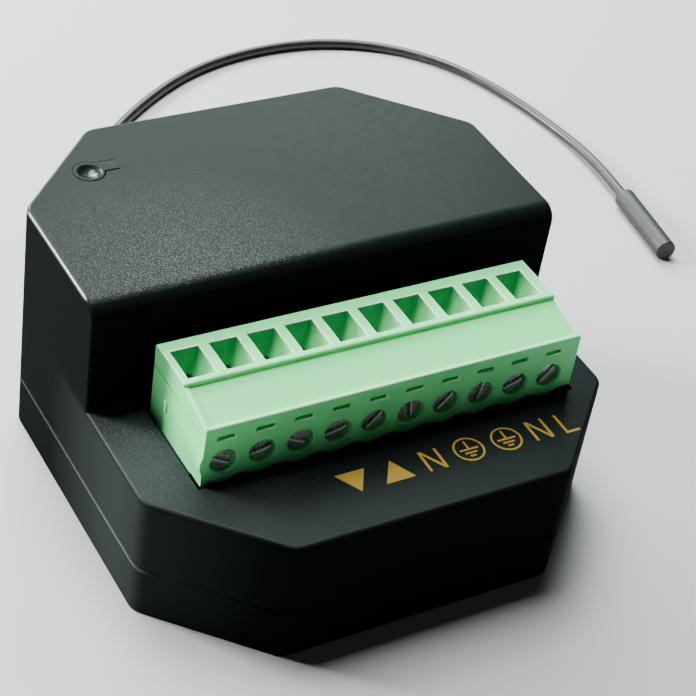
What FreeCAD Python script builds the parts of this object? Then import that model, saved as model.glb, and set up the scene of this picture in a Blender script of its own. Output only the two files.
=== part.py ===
import FreeCAD, Part
import math
import os
import re
import Sketcher
from FreeCAD import Placement, Rotation, Vector

# Radio receiver module for a flush wall box. The origin is at the centre of the base, +X runs along
# the row of terminals, the terminal screws face -Y and +Z is up. Sizes are in millimetres.

# Driving sizes: name, value, meaning
SIZES = [
    ("case_width", 48.7, "case, left to right"),
    ("case_depth", 48.7, "case, front to back"),
    ("case_height", 25.5, "base to the top of the raised back"),
    ("shelf_height", 13.6, "base to the low front shelf"),
    ("seam_height", 5.35, "base to the joint between the shells"),
    ("hump_reach", 1.95, "the raised back ends this far in front of the centre"),
    ("back_chamfer", 10.35, "leg of each back corner cut"),
    ("front_chamfer", 10.05, "leg of each front corner cut"),
    ("wall", 1.6, "side walls"),
    ("roof", 1.6, "roof of the raised back and of the shelf"),
    ("floor_wall", 1.6, "floor of the lower shell"),
    ("corner_round", 2.0, "rounding of the case's upright corners"),
    ("brow_round", 1.7, "rounding of the raised back's front edge"),
    ("rim_round", 0.35, "rounding of the other top edges"),
    ("seam_bevel", 0.2, "small bevel on both shells along the seam"),
    ("lip_wall", 0.7, "lip of the lower shell, inside the cover"),
    ("lip_height", 1.1, "how far the lip stands up"),
    ("lip_gap", 0.1, "clearance round the lip"),
    ("hook_length", 5.0, "snap hooks on the lip, along the wall"),
    ("hook_reach", 0.35, "how far a snap hook stands out"),
    ("hook_height", 0.5, "snap hook, bottom to top"),
    ("hook_gap", 0.1, "clearance round a snap hook in its window"),
    ("base_recess", 0.3, "depth of the shallow field under the base"),
    ("base_field_width", 26.0, "shallow field, left to right"),
    ("base_field_depth", 16.0, "shallow field, front to back"),
    ("board_thickness", 1.6, "circuit board"),
    ("board_gap", 0.25, "between the board's edge and the walls"),
    ("board_standoff", 1.3, "posts between the floor and the board"),
    ("post_size", 3.4, "width of a board post"),
    ("post_inset_x", 10.35, "side walls' faces to the board posts"),
    ("post_inset_y", 6.85, "front and back walls' faces to the board posts"),
    ("way_pitch", 3.81, "terminal to terminal"),
    ("way_count", 10, "number of terminals"),
    ("first_way", -16.7, "place of the first terminal, left to right"),
    ("plug_end_left", 2.1, "plug end beyond the first terminal"),
    ("plug_end_right", 2.5, "plug end beyond the last terminal"),
    ("plate_overhang", 0.4, "front plate beyond the plug's right end"),
    ("plug_front", 14.25, "plug's screw face, in front of the centre"),
    ("plug_depth", 10.7, "plug, screw face to back"),
    ("plug_rise", 7.9, "plug, shelf to wire entries"),
    ("entry_block", 6.0, "raised part with the wire entries, front to back"),
    ("strip_drop", 0.45, "entries' top down to the sloping strip at the step"),
    ("strip_fall", 1.5, "entries' top down to the strip's front end"),
    ("crown_round", 0.25, "rounding of the raised part's long top edges"),
    ("strip_rim", 0.4, "thickness of the thin rim round the strip"),
    ("rim_rise", 0.16, "height of that rim over the strip"),
    ("entry_width", 2.86, "wire entry, left to right"),
    ("entry_depth", 3.9, "wire entry, front to back"),
    ("entry_back_wall", 1.35, "plug's back to the wire entries"),
    ("screw_height", 2.35, "screw axis over the shelf"),
    ("bore_width", 2.6, "screw bore"),
    ("bore_mouth", 0.12, "bevel at the bore's mouth"),
    ("lobe_radius", 2.35, "round lobe of the front plate under each screw"),
    ("plate_thickness", 0.9, "front plate that carries the lobes"),
    ("plate_lift", 0.45, "front plate's edge over the shelf between lobes"),
    ("plate_rib", 0.75, "upright rib at the front plate's left edge"),
    ("test_slot_width", 1.8, "test slot over each screw, left to right"),
    ("test_slot_height", 0.5, "test slot, bottom to top"),
    ("test_slot_depth", 1.1, "test slot, depth"),
    ("test_slot_rise", 2.85, "screw axis up to the test slot"),
    ("part_line", 2.4, "entries' top down to the parting groove"),
    ("part_groove", 0.14, "width and depth of the parting groove"),
    ("nub_size", 0.5, "small nub on the plug's left end"),
    ("nub_height", 1.3, "small nub, bottom to top"),
    ("nub_rise", 0.16, "how far the nub stands out"),
    ("chamber_gap", 0.1, "clearance beside and round a cage"),
    ("cage_width", 2.66, "clamp cage, left to right"),
    ("cage_height", 4.05, "clamp cage, bottom to top"),
    ("cage_drop", 1.9, "screw axis down to the clamp cage's bottom"),
    ("cage_wall", 0.8, "clamp cage's front and back walls"),
    ("cage_side", 0.28, "clamp cage's side walls"),
    ("cage_window", 4.9, "clamp cage's window, front to back"),
    ("cage_back", 4.5, "back of an open cage, in front of the centre"),
    ("cage_travel", 1.2, "open cage to closed cage"),
    ("head_width", 2.45, "terminal screw's head"),
    ("head_height", 0.95, "terminal screw's head, thickness"),
    ("head_sink", 0.35, "screw face to the head's face"),
    ("slot_width", 0.5, "slot in the screw's head"),
    ("slot_depth", 0.5, "depth of that slot"),
    ("shank_width", 2.0, "terminal screw's thread"),
    ("thread_gap", 0.05, "thread to cage, on the radius"),
    ("tip_gap", 0.05, "screw's tip to the clamp bar"),
    ("bar_width", 1.6, "clamp bar, left to right"),
    ("bar_thickness", 0.8, "clamp bar, front to back"),
    ("bar_place", 8.2, "clamp bar's back face, in front of the centre"),
    ("insert_depth", 5.4, "plug's lower part, front to back"),
    ("insert_drop", 6.7, "plug's lower part, shelf down to its end"),
    ("insert_gap", 0.1, "plug's lower part to the header's walls"),
    ("fork_thickness", 0.4, "leaves of the contact fork"),
    ("fork_gap", 0.05, "fork leaf to pin"),
    ("fork_drop", 5.9, "shelf down to the fork's ends"),
    ("fork_room", 0.4, "space round the fork in the plug"),
    ("bridge_height", 0.6, "bridge that joins the fork to the bar"),
    ("pin_width", 1.0, "header pins, square"),
    ("pin_clear", 2.1, "shelf down to the pins' tops"),
    ("pin_tail", 0.9, "pins below the board"),
    ("pin_hole_gap", 0.2, "pin to the edge of its hole in the board"),
    ("header_wall", 0.8, "header's side walls"),
    ("header_floor", 1.3, "header's floor"),
    ("window_gap", 0.3, "plug to the shelf's opening, at the ends and the front"),
    ("button_left", 7.85, "left wall's face to the middle of the button's pad"),
    ("button_behind", 6.8, "back wall's face to the middle of the button's pad"),
    ("pad_width", 2.8, "button's pad"),
    ("dish_width", 2.3, "dish in the pad"),
    ("dish_depth", 0.42, "depth of that dish"),
    ("tongue_width", 1.3, "tongue that carries the pad"),
    ("tongue_reach", 3.0, "pad's centre to the tongue's root"),
    ("tongue_shift", 0.4, "pad's centre back to the middle of the tongue"),
    ("tongue_gap", 0.2, "slot beside the tongue"),
    ("pad_gap", 0.22, "slot round the pad"),
    ("root_gap", 0.09, "slot at the tongue's root"),
    ("rod_width", 1.5, "push rod"),
    ("rod_play", 0.12, "pad to push rod"),
    ("rod_guide_wall", 0.7, "wall of the rod's guide"),
    ("rod_guide_gap", 0.15, "push rod to its guide"),
    ("rod_guide_top", 3.2, "top of the case down to the guide"),
    ("rod_guide_length", 7.0, "rod's guide"),
    ("guide_web", 1.4, "web between the guide and the corner wall"),
    ("switch_width", 2.3, "tact switch's body, square"),
    ("switch_height", 2.0, "tact switch's body, bottom to top"),
    ("plunger_width", 1.4, "tact switch's plunger"),
    ("plunger_rise", 0.9, "plunger over the switch's body"),
    ("plunger_sink", 0.6, "plunger inside the switch's body"),
    ("plunger_gap", 0.1, "plunger to its hole"),
    ("plunger_room", 0.5, "space under the plunger for its travel"),
    ("relay_length", 20.5, "relay, left to right"),
    ("relay_depth", 7.2, "relay, front to back"),
    ("relay_height", 15.3, "relay, bottom to top"),
    ("relay_wall_gap", 0.3, "relays to the corner wall or the side wall, whichever is nearer"),
    ("relay_y", 3.9, "front relay's centre, front to back"),
    ("relay_space", 0.6, "between the two relays"),
    ("core_length", 10.0, "transformer's core, left to right"),
    ("core_depth", 9.0, "transformer's core, front to back"),
    ("core_height", 11.0, "transformer's core, bottom to top"),
    ("core_leg", 2.2, "legs of the core"),
    ("core_space", 0.65, "transformer's core to the relays"),
    ("core_y", 6.2, "transformer's centre, front to back"),
    ("winding_gap", 0.15, "winding to core"),
    ("winding_proud", 1.2, "winding beyond the core, front and back"),
    ("front_row", 6.5, "front wall's face to the middle of the parts behind it"),
    ("film_length", 11.0, "filter capacitor, left to right"),
    ("film_depth", 5.0, "filter capacitor, front to back"),
    ("film_height", 5.6, "filter capacitor, bottom to top"),
    ("film_x", -6.0, "filter capacitor's centre, left to right"),
    ("can_width", 6.3, "smoothing capacitor"),
    ("can_height", 11.0, "smoothing capacitor, bottom to top"),
    ("can_left", 0.5, "left wall to the smoothing capacitor"),
    ("can_y", 3.4, "smoothing capacitor's centre, front to back"),
    ("fuse_width", 5.6, "fuse"),
    ("fuse_height", 6.2, "fuse, bottom to top"),
    ("fuse_x", 10.0, "fuse's centre, left to right"),
    ("varistor_width", 6.2, "varistor's disc"),
    ("varistor_thickness", 3.2, "varistor's disc, thickness"),
    ("varistor_x", 3.6, "varistor's centre, left to right"),
    ("radio_length", 15.0, "radio board, left to right"),
    ("radio_height", 10.0, "radio board, bottom to top"),
    ("radio_thickness", 0.8, "radio board"),
    ("radio_x", -3.0, "radio board's centre, left to right"),
    ("radio_y", 16.4, "radio board's back face"),
    ("chip_length", 5.0, "microcontroller, left to right"),
    ("chip_depth", 4.0, "microcontroller, front to back"),
    ("chip_height", 1.5, "microcontroller, bottom to top"),
    ("chip_left", 1.5, "left wall to the microcontroller"),
    ("chip_y", 9.5, "microcontroller's centre, front to back"),
    ("crystal_length", 5.0, "crystal can on the radio board, left to right"),
    ("crystal_height", 3.2, "crystal can, bottom to top"),
    ("crystal_thickness", 1.3, "crystal can, thickness"),
    ("exit_x", -9.0, "antenna's exit, left to right"),
    ("wire_width", 1.2, "antenna wire"),
    ("grommet_neck", 2.6, "grommet through the wall"),
    ("grommet_flange", 3.7, "grommet's flange inside the wall"),
    ("grommet_flange_wall", 0.8, "thickness of that flange"),
    ("grommet_boot", 2.4, "tapered boot outside the wall, at the wall"),
    ("grommet_tip", 2.0, "tapered boot, at its outer end"),
    ("grommet_reach", 2.1, "boot's length outside the wall"),
    ("grommet_gap", 0.05, "grommet to the shells"),
    ("cap_width", 2.5, "antenna's end cap"),
    ("cap_length", 11.0, "antenna's end cap"),
    ("cap_round", 0.15, "rounding of the end cap's rims"),
]

# Places worked out from the sizes; each may use the ones before it
PLACES = [
    ("half_width", "case_width / 2"),
    ("half_depth", "case_depth / 2"),
    ("corner_share", "(2 - sqrt(2))"),
    ("board_bottom", "floor_wall + board_standoff"),
    ("board_top", "board_bottom + board_thickness"),
    ("board_inset", "wall + board_gap"),
    ("cover_room", "case_height - roof"),
    ("last_way", "first_way + way_pitch * (way_count - 1)"),
    ("plug_left", "first_way - plug_end_left"),
    ("plug_right", "last_way + plug_end_right"),
    ("plug_back", "plug_depth - plug_front"),
    ("plug_top", "shelf_height + plug_rise"),
    ("step_place", "plug_back - entry_block"),
    ("entry_back", "plug_back - entry_back_wall"),
    ("screw_axis", "shelf_height + screw_height"),
    ("test_slot_middle", "screw_axis + test_slot_rise"),
    ("head_face", "head_sink - plug_front"),
    ("head_back", "head_face + head_height"),
    ("bar_back", "-bar_place"),
    ("bar_front", "bar_back - bar_thickness"),
    ("bar_middle", "bar_back - bar_thickness / 2"),
    ("cage_length", "cage_window + 2 * cage_wall"),
    ("cage_front", "-cage_back - cage_length"),
    ("cage_bottom", "screw_axis - cage_drop"),
    ("chamber_width", "cage_width + 2 * chamber_gap"),
    ("chamber_bottom", "cage_bottom - chamber_gap"),
    ("chamber_height", "cage_height + 2 * chamber_gap"),
    ("chamber_front", "cage_front - cage_travel - chamber_gap"),
    ("chamber_back", "-cage_back + chamber_gap"),
    ("insert_front", "bar_middle - insert_depth / 2"),
    ("insert_left", "plug_left + header_wall + insert_gap"),
    ("insert_right", "plug_right - header_wall - insert_gap"),
    ("insert_bottom", "shelf_height - insert_drop"),
    ("fork_half", "pin_width / 2 + fork_gap"),
    ("fork_bottom", "shelf_height - fork_drop"),
    ("pin_top", "shelf_height - pin_clear"),
    ("pin_bottom", "board_bottom - pin_tail"),
    ("header_front", "insert_front - insert_gap - header_wall"),
    ("header_depth", "insert_depth + 2 * (insert_gap + header_wall)"),
    ("header_left", "insert_left - insert_gap - header_wall"),
    ("header_right", "insert_right + insert_gap + header_wall"),
    ("post_spread_x", "half_width - post_inset_x"),
    ("post_spread_y", "half_depth - post_inset_y"),
    ("button_x", "button_left - half_width"),
    ("button_y", "half_depth - button_behind"),
    ("tongue_root", "button_x + tongue_reach"),
    ("slot_root", "tongue_root + root_gap"),
    ("tongue_middle", "button_y + tongue_shift"),
    ("switch_top", "board_top + switch_height"),
    ("plunger_top", "switch_top + plunger_rise"),
    ("rod_top", "cover_room - rod_play"),
    ("guide_top", "case_height - rod_guide_top"),
    ("corner_distance", "(half_width + half_depth - back_chamfer + button_x - button_y) / sqrt(2)"),
    ("web_reach", "(corner_distance - wall / 2) / sqrt(2)"),
    ("relay_back_y", "relay_y + relay_depth + relay_space"),
    ("relay_back_end", "relay_back_y + relay_depth / 2"),
    ("corner_reach", "half_width + half_depth - back_chamfer - sqrt(2) * (wall + relay_wall_gap)"),
    ("relay_end", "min(corner_reach - relay_back_end; half_width - wall - relay_wall_gap)"),
    ("relay_x", "relay_end - relay_length / 2"),
    ("core_x", "relay_x - relay_length / 2 - core_space - core_length / 2"),
    ("can_x", "wall + can_left + can_width / 2 - half_width"),
    ("chip_x", "wall + chip_left + chip_length / 2 - half_width"),
    ("front_row_y", "front_row - half_depth"),
]

# A cut that removes less than this many cubic millimetres has missed its solid
LEAST_CUT = 0.001

# Edges within this distance of a level or a line lie on it
NEAR = 0.01

# An edge this long is a wall's or a corner's, not a rounding's
LONG_EDGE = 1.0

# Any sketch coordinate starts here, before its constraint moves it
START = 1.0

# Each bend of a wire takes this share of its shorter run
BEND_SHARE = 0.45

NAMES = [name for name, _, _ in SIZES]
WORD = re.compile(r"[a-z][a-z_0-9]*")

doc = FreeCAD.newDocument("radio_receiver_module")
sheet = doc.addObject("Spreadsheet::Sheet", "dims")
for row, (name, value, meaning) in enumerate(SIZES, start=1):
    sheet.set(f"A{row}", meaning)
    sheet.set(f"B{row}", str(value))
    sheet.setAlias(f"B{row}", name)
doc.recompute()
size = {name: float(sheet.get(name)) for name in NAMES}


def spelled(expression):
    """The expression with places written out and sizes read from the sheet."""
    places = dict(PLACES)

    def word(found):
        text = found.group()
        if text in places:
            return "(" + WORD.sub(word, places[text]) + ")"
        return "dims." + text if text in NAMES else text

    return WORD.sub(word, expression)


def bind(item, prop, expression):
    item.setExpression(prop, spelled(expression))


def place(item, x="0", y="0", z="0"):
    """Ties an object's place to the sheet."""
    for axis, expression in zip("xyz", (x, y, z)):
        bind(item, "Placement.Base." + axis, expression)
    return item


def block(name, corner, extent):
    """A box from its lowest corner and its three lengths."""
    item = doc.addObject("Part::Box", name)
    for prop, expression in zip(("Length", "Width", "Height"), extent):
        bind(item, prop, expression)
    return place(item, *corner)


def span(name, x, y, z):
    """A box between two limits along each axis."""
    lows = [low for low, _ in (x, y, z)]
    lengths = [f"({high}) - ({low})" for low, high in (x, y, z)]
    return block(name, lows, lengths)


def rod(name, width, length, at, turn=None):
    """A cylinder; turn is the axis and angle that lay it down from upright."""
    item = doc.addObject("Part::Cylinder", name)
    bind(item, "Radius", f"({width}) / 2")
    bind(item, "Height", length)
    if turn:
        item.Placement = Placement(Vector(), Rotation(*turn))
    return place(item, *at)


def cone(name, width_low, width_high, length, at, turn=None):
    item = doc.addObject("Part::Cone", name)
    bind(item, "Radius1", f"({width_low}) / 2")
    bind(item, "Radius2", f"({width_high}) / 2")
    bind(item, "Height", length)
    if turn:
        item.Placement = Placement(Vector(), Rotation(*turn))
    return place(item, *at)


def cut(name, base, *tools):
    """The base with every tool taken away."""
    for number, tool in enumerate(tools, start=1):
        last = number == len(tools)
        item = doc.addObject("Part::Cut", name if last else f"{name}_cut_{number}")
        item.Base = base
        item.Tool = tool
        base = item
    return base


def fuse(name, *pieces):
    item = doc.addObject("Part::MultiFuse", name)
    item.Shapes = list(pieces)
    item.Refine = True
    return item


def group(name, pieces):
    """Several separate solids kept in one object."""
    item = doc.addObject("Part::Compound", name)
    item.Links = list(pieces)
    return item


def ways():
    """Each terminal's number, counted from one, and the expression of its place."""
    for number in range(int(size["way_count"])):
        yield number + 1, f"(first_way + way_pitch * {number})"


QUARTER_TURN = 90
EIGHTH_TURN = 45
ALONG_BACK = (Vector(1, 0, 0), -QUARTER_TURN)


# Sketch and feature helpers

def plane(body, role):
    return next(item for item in body.Origin.OriginFeatures if item.Role == role)


def sketch(body, name, role="XY_Plane", raised="0"):
    """An empty sketch on one of the body's own planes, moved along its normal."""
    item = body.newObject("Sketcher::SketchObject", name)
    item.AttachmentSupport = [(plane(body, role), "")]
    item.MapMode = "FlatFace"
    bind(item, "AttachmentOffset.Base.z", raised)
    return item


def hold(drawn, kind, geometry, point, value, expression):
    """Ties one coordinate of a sketch point to the sheet."""
    mark = drawn.addConstraint(Sketcher.Constraint(kind, -1, 1, geometry, point, value))
    bind(drawn, f"Constraints[{mark}]", expression)


def outline(drawn, corners):
    """A closed polygon; each corner is a pair of expressions."""
    count = len(corners)
    first = drawn.GeometryCount
    ring = case_ring(count)
    for k in range(count):
        drawn.addGeometry(Part.LineSegment(ring[k], ring[(k + 1) % count]), False)
    for k in range(count):
        following = first + (k + 1) % count
        drawn.addConstraint(Sketcher.Constraint("Coincident", first + k, 2, following, 1))
    for k, (x, y) in enumerate(corners):
        hold(drawn, "DistanceX", first + k, 1, ring[k].x, x)
        hold(drawn, "DistanceY", first + k, 1, ring[k].y, y)
    return drawn


def case_ring(count):
    """Starting places of a polygon's corners, before its constraints move them."""
    reach = size["case_width"] / 2
    turns = [2 * math.pi * k / count for k in range(count)]
    return [Vector(reach * math.cos(turn), reach * math.sin(turn), 0) for turn in turns]


def rectangle(drawn, x, y):
    """A rectangle between two limits along each sketch axis."""
    (left, right), (low, high) = x, y
    return outline(drawn, [(left, low), (right, low), (right, high), (left, high)])


def circle(drawn, x, y, width):
    first = Part.Circle(Vector(START, START, 0), Vector(0, 0, 1), START)
    mark = drawn.addGeometry(first, False)
    hold(drawn, "DistanceX", mark, 3, START, x)
    hold(drawn, "DistanceY", mark, 3, START, y)
    rule = drawn.addConstraint(Sketcher.Constraint("Radius", mark, START))
    bind(drawn, f"Constraints[{rule}]", f"({width}) / 2")
    return drawn


def octagon(drawn, inset="0", front=None):
    """The case's outline, moved inwards by inset; front, if given, ends it there."""
    wide = f"(half_width - ({inset}))"
    deep = f"(half_depth - ({inset}))"
    back = f"(back_chamfer - corner_share * ({inset}))"
    fore = f"(front_chamfer - corner_share * ({inset}))"
    behind = [
        (wide, f"{deep} - {back}"),
        (f"{wide} - {back}", deep),
        (f"{back} - {wide}", deep),
        (f"-{wide}", f"{deep} - {back}"),
    ]
    if front:
        return outline(drawn, behind + [(f"-{wide}", front), (wide, front)])
    ahead = [
        (f"-{wide}", f"{fore} - {deep}"),
        (f"{fore} - {wide}", f"-{deep}"),
        (f"{wide} - {fore}", f"-{deep}"),
        (wide, f"{fore} - {deep}"),
    ]
    return outline(drawn, behind + ahead)


def feature(body, kind, name, drawn, length, **options):
    item = body.newObject("PartDesign::" + kind, name)
    item.Profile = drawn
    bind(item, "Length", length)
    for option, value in options.items():
        setattr(item, option, value)
    return item


def pad(body, name, drawn, length, **options):
    return feature(body, "Pad", name, drawn, length, **options)


def pocket(body, name, drawn, length, **options):
    """Cuts downwards from the sketch, or upwards where Reversed is given, and must remove something."""
    doc.recompute()
    before = body.Shape.Volume
    item = feature(body, "Pocket", name, drawn, length, **options)
    doc.recompute()
    if before - body.Shape.Volume < LEAST_CUT:
        raise RuntimeError(name + " cuts nothing")
    return item


def row_of_ways(body, name, originals, along):
    """Repeats features once for each terminal; along is a sketch whose first axis is the row."""
    item = body.newObject("PartDesign::LinearPattern", name)
    item.Originals = list(originals)
    item.Direction = (along, ["H_Axis"])
    bind(item, "Length", "way_pitch * (way_count - 1)")
    bind(item, "Occurrences", "way_count")
    body.Tip = item
    return item


def dress(body, kind, name, wanted, amount):
    """Rounds or bevels the body's edges that the test accepts."""
    doc.recompute()
    base = body.Tip
    marks = [f"Edge{n}" for n, edge in enumerate(base.Shape.Edges, 1) if wanted(edge)]
    if not marks:
        raise RuntimeError(name + " finds no edge")
    item = body.newObject("PartDesign::" + kind, name)
    item.Base = (base, marks)
    bind(item, "Radius" if kind == "Fillet" else "Size", amount)
    return item


def upright(edge):
    box = edge.BoundBox
    return box.ZLength > LONG_EDGE and box.XLength < NEAR and box.YLength < NEAR


def level_at(edge, height):
    return abs(edge.BoundBox.ZMin - height) < NEAR and abs(edge.BoundBox.ZMax - height) < NEAR


def on_outline(edge):
    """True for an edge on the case's outer wall."""
    inner = size["wall"] / 2
    x, y = edge.CenterOfMass.x, edge.CenterOfMass.y
    wide = size["case_width"] / 2
    deep = size["case_depth"] / 2
    leg = size["back_chamfer"] if y > 0 else size["front_chamfer"]
    beyond = (abs(x) + abs(y) - (wide + deep - leg)) / math.sqrt(2)
    return max(abs(x) - wide, abs(y) - deep, beyond) > -inner


def new_body(label):
    item = doc.addObject("PartDesign::Body", label)
    item.Label = label
    return item


# The two shells

def make_upper_cover():
    body = new_body("upper_cover")
    low = octagon(sketch(body, "cover_outline", raised="seam_height"))
    pad(body, "cover_shelf_block", low, "shelf_height - seam_height")
    high = octagon(sketch(body, "hump_outline", raised="shelf_height"), front="-hump_reach")
    pad(body, "cover_hump_block", high, "case_height - shelf_height")
    shelf = size["shelf_height"]
    front = -size["hump_reach"]

    def case_corner(edge):
        return upright(edge) and abs(edge.CenterOfMass.y - front) > LONG_EDGE

    dress(body, "Fillet", "cover_corners", case_corner, "corner_round")
    top = size["case_height"]

    def brow(edge):
        return level_at(edge, top) and abs(edge.CenterOfMass.y - front) < NEAR

    dress(body, "Fillet", "cover_brow", brow, "brow_round")

    def rim(edge):
        if level_at(edge, top):
            return edge.CenterOfMass.y > front + size["brow_round"] + NEAR
        return level_at(edge, shelf) and on_outline(edge) and edge.CenterOfMass.y < front

    dress(body, "Fillet", "cover_rims", rim, "rim_round")

    def seam(edge):
        return level_at(edge, size["seam_height"])

    dress(body, "Chamfer", "cover_seam", seam, "seam_bevel")
    room = octagon(sketch(body, "cover_room_outline", raised="seam_height"), "wall")
    pocket(body, "cover_room", room, "shelf_height - roof - seam_height", Reversed=True)
    attic = sketch(body, "hump_room_outline", raised="shelf_height - roof")
    octagon(attic, "wall", front="wall - hump_reach")
    pocket(body, "hump_room", attic, "case_height - shelf_height", Reversed=True)
    rebate = octagon(sketch(body, "rebate_outline", raised="seam_height"), "wall - lip_wall - lip_gap")
    pocket(body, "lip_rebate", rebate, "lip_height + lip_gap", Reversed=True)
    windows = sketch(body, "hook_windows", raised="seam_height + lip_height / 2 - hook_height / 2 - hook_gap")
    reach = "wall - lip_wall - hook_reach - hook_gap"
    half = "(hook_length / 2 + hook_gap)"
    side = f"(half_width - ({reach}))"
    rectangle(windows, (f"-{side}", side), (f"-{half}", half))
    pocket(body, "side_windows", windows, "hook_height + 2 * hook_gap", Reversed=True)
    opening = sketch(body, "plug_opening", raised="shelf_height")
    rectangle(
        opening,
        ("header_left - window_gap", "plug_right + plate_overhang + window_gap"),
        ("-plug_front - window_gap", "plug_back + window_gap"),
    )
    pocket(body, "plug_window", opening, "roof")
    guide = sketch(body, "rod_guide_outline", raised="guide_top - rod_guide_length")
    circle(guide, "button_x", "button_y", "rod_width + 2 * (rod_guide_gap + rod_guide_wall)")
    pad(body, "rod_guide", guide, "rod_guide_length")
    web = sketch(body, "guide_web_outline", raised="guide_top - rod_guide_length")
    half_web = "(guide_web / sqrt(2) / 2)"
    outline(web, [
        (f"button_x - {half_web}", f"button_y - {half_web}"),
        (f"button_x + {half_web}", f"button_y + {half_web}"),
        (f"button_x + {half_web} - web_reach", f"button_y + {half_web} + web_reach"),
        (f"button_x - {half_web} - web_reach", f"button_y - {half_web} + web_reach"),
    ])
    pad(body, "guide_web_block", web, "rod_guide_length")
    bore = sketch(body, "rod_bore_outline", raised="guide_top")
    circle(bore, "button_x", "button_y", "rod_width + 2 * rod_guide_gap")
    pocket(body, "rod_bore", bore, "rod_guide_length")
    arm = sketch(body, "tongue_slot_outline", raised="case_height")
    half_arm = "(tongue_width / 2 + tongue_gap)"
    rectangle(
        arm,
        ("button_x", "slot_root"),
        (f"tongue_middle - {half_arm}", f"tongue_middle + {half_arm}"),
    )
    pocket(body, "tongue_slot", arm, "roof")
    round_hole = sketch(body, "pad_hole_outline", raised="case_height")
    circle(round_hole, "button_x", "button_y", "pad_width + 2 * pad_gap")
    pocket(body, "pad_hole", round_hole, "roof")
    notch = sketch(body, "cover_notch_outline", "XZ_Plane", raised="-half_depth")
    circle(notch, "exit_x", "seam_height", "grommet_neck + 2 * grommet_gap")
    pocket(body, "cover_notch", notch, "wall", Reversed=True)
    return body


def make_lower_shell():
    body = new_body("lower_shell")
    base = octagon(sketch(body, "base_outline"))
    pad(body, "base_block", base, "seam_height")
    dress(body, "Fillet", "base_corners", upright, "corner_round")

    def seam(edge):
        return level_at(edge, size["seam_height"])

    dress(body, "Chamfer", "base_seam", seam, "seam_bevel")
    room = octagon(sketch(body, "base_room_outline", raised="seam_height"), "wall")
    pocket(body, "base_room", room, "seam_height - floor_wall")
    lip = sketch(body, "lip_outline", raised="seam_height")
    octagon(lip, "wall - lip_wall")
    octagon(lip, "wall")
    pad(body, "lip", lip, "lip_height")
    hooks = sketch(body, "hook_outline", raised="seam_height + lip_height / 2 - hook_height / 2")
    outside = "(half_width - wall + lip_wall + hook_reach)"
    inside = "(half_width - wall + lip_wall / 2)"
    half = "(hook_length / 2)"
    rectangle(hooks, (f"-{outside}", f"-{inside}"), (f"-{half}", half))
    rectangle(hooks, (inside, outside), (f"-{half}", half))
    pad(body, "hooks", hooks, "hook_height")
    posts = sketch(body, "post_outline", raised="floor_wall")
    for x in ("-post_spread_x", "post_spread_x"):
        for y in ("-post_spread_y", "post_spread_y"):
            wide = (f"{x} - post_size / 2", f"{x} + post_size / 2")
            deep = (f"{y} - post_size / 2", f"{y} + post_size / 2")
            rectangle(posts, wide, deep)
    pad(body, "posts", posts, "board_standoff")
    field = sketch(body, "field_outline")
    rectangle(
        field,
        ("-base_field_width / 2", "base_field_width / 2"),
        ("-base_field_depth / 2", "base_field_depth / 2"),
    )
    pocket(body, "base_field", field, "base_recess", Reversed=True)
    notch = sketch(body, "shell_notch_outline", "XZ_Plane", raised="-half_depth")
    circle(notch, "exit_x", "seam_height", "grommet_neck + 2 * grommet_gap")
    pocket(body, "shell_notch", notch, "wall", Reversed=True)
    return body


# The button and what it pushes

def make_program_button():
    tongue = span(
        "tongue_arm",
        ("button_x", "tongue_root"),
        ("tongue_middle - tongue_width / 2", "tongue_middle + tongue_width / 2"),
        ("cover_room", "case_height"),
    )
    disc = rod("tongue_pad", "pad_width", "roof", ("button_x", "button_y", "cover_room"))
    whole = fuse("button_whole", tongue, disc)
    # A ball cuts the dish: its radius follows from the dish's width and depth
    bow = "(dish_width * dish_width / 4 + dish_depth * dish_depth) / (2 * dish_depth)"
    ball = doc.addObject("Part::Sphere", "dish_ball")
    bind(ball, "Radius", bow)
    place(ball, "button_x", "button_y", f"case_height - dish_depth + {bow}")
    return cut("program_button", whole, ball)


def make_push_rod():
    length = "rod_top - plunger_top"
    return rod("push_rod", "rod_width", length, ("button_x", "button_y", "plunger_top"))


def make_switch():
    # Turned by an eighth, so that its side lies along the corner wall
    case = block(
        "switch_case",
        ("button_x", "button_y - switch_width / sqrt(2)", "board_top"),
        ("switch_width", "switch_width", "switch_height"),
    )
    case.Placement.Rotation = Rotation(Vector(0, 0, 1), EIGHTH_TURN)
    hole_depth = "plunger_sink + plunger_room"
    well = rod(
        "switch_well",
        "plunger_width + 2 * plunger_gap",
        hole_depth,
        ("button_x", "button_y", f"switch_top - ({hole_depth})"),
    )
    plunger = rod(
        "switch_plunger",
        "plunger_width",
        "plunger_sink + plunger_rise",
        ("button_x", "button_y", "switch_top - plunger_sink"),
    )
    return [cut("tact_switch", case, well), plunger]


# The terminal plug

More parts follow.
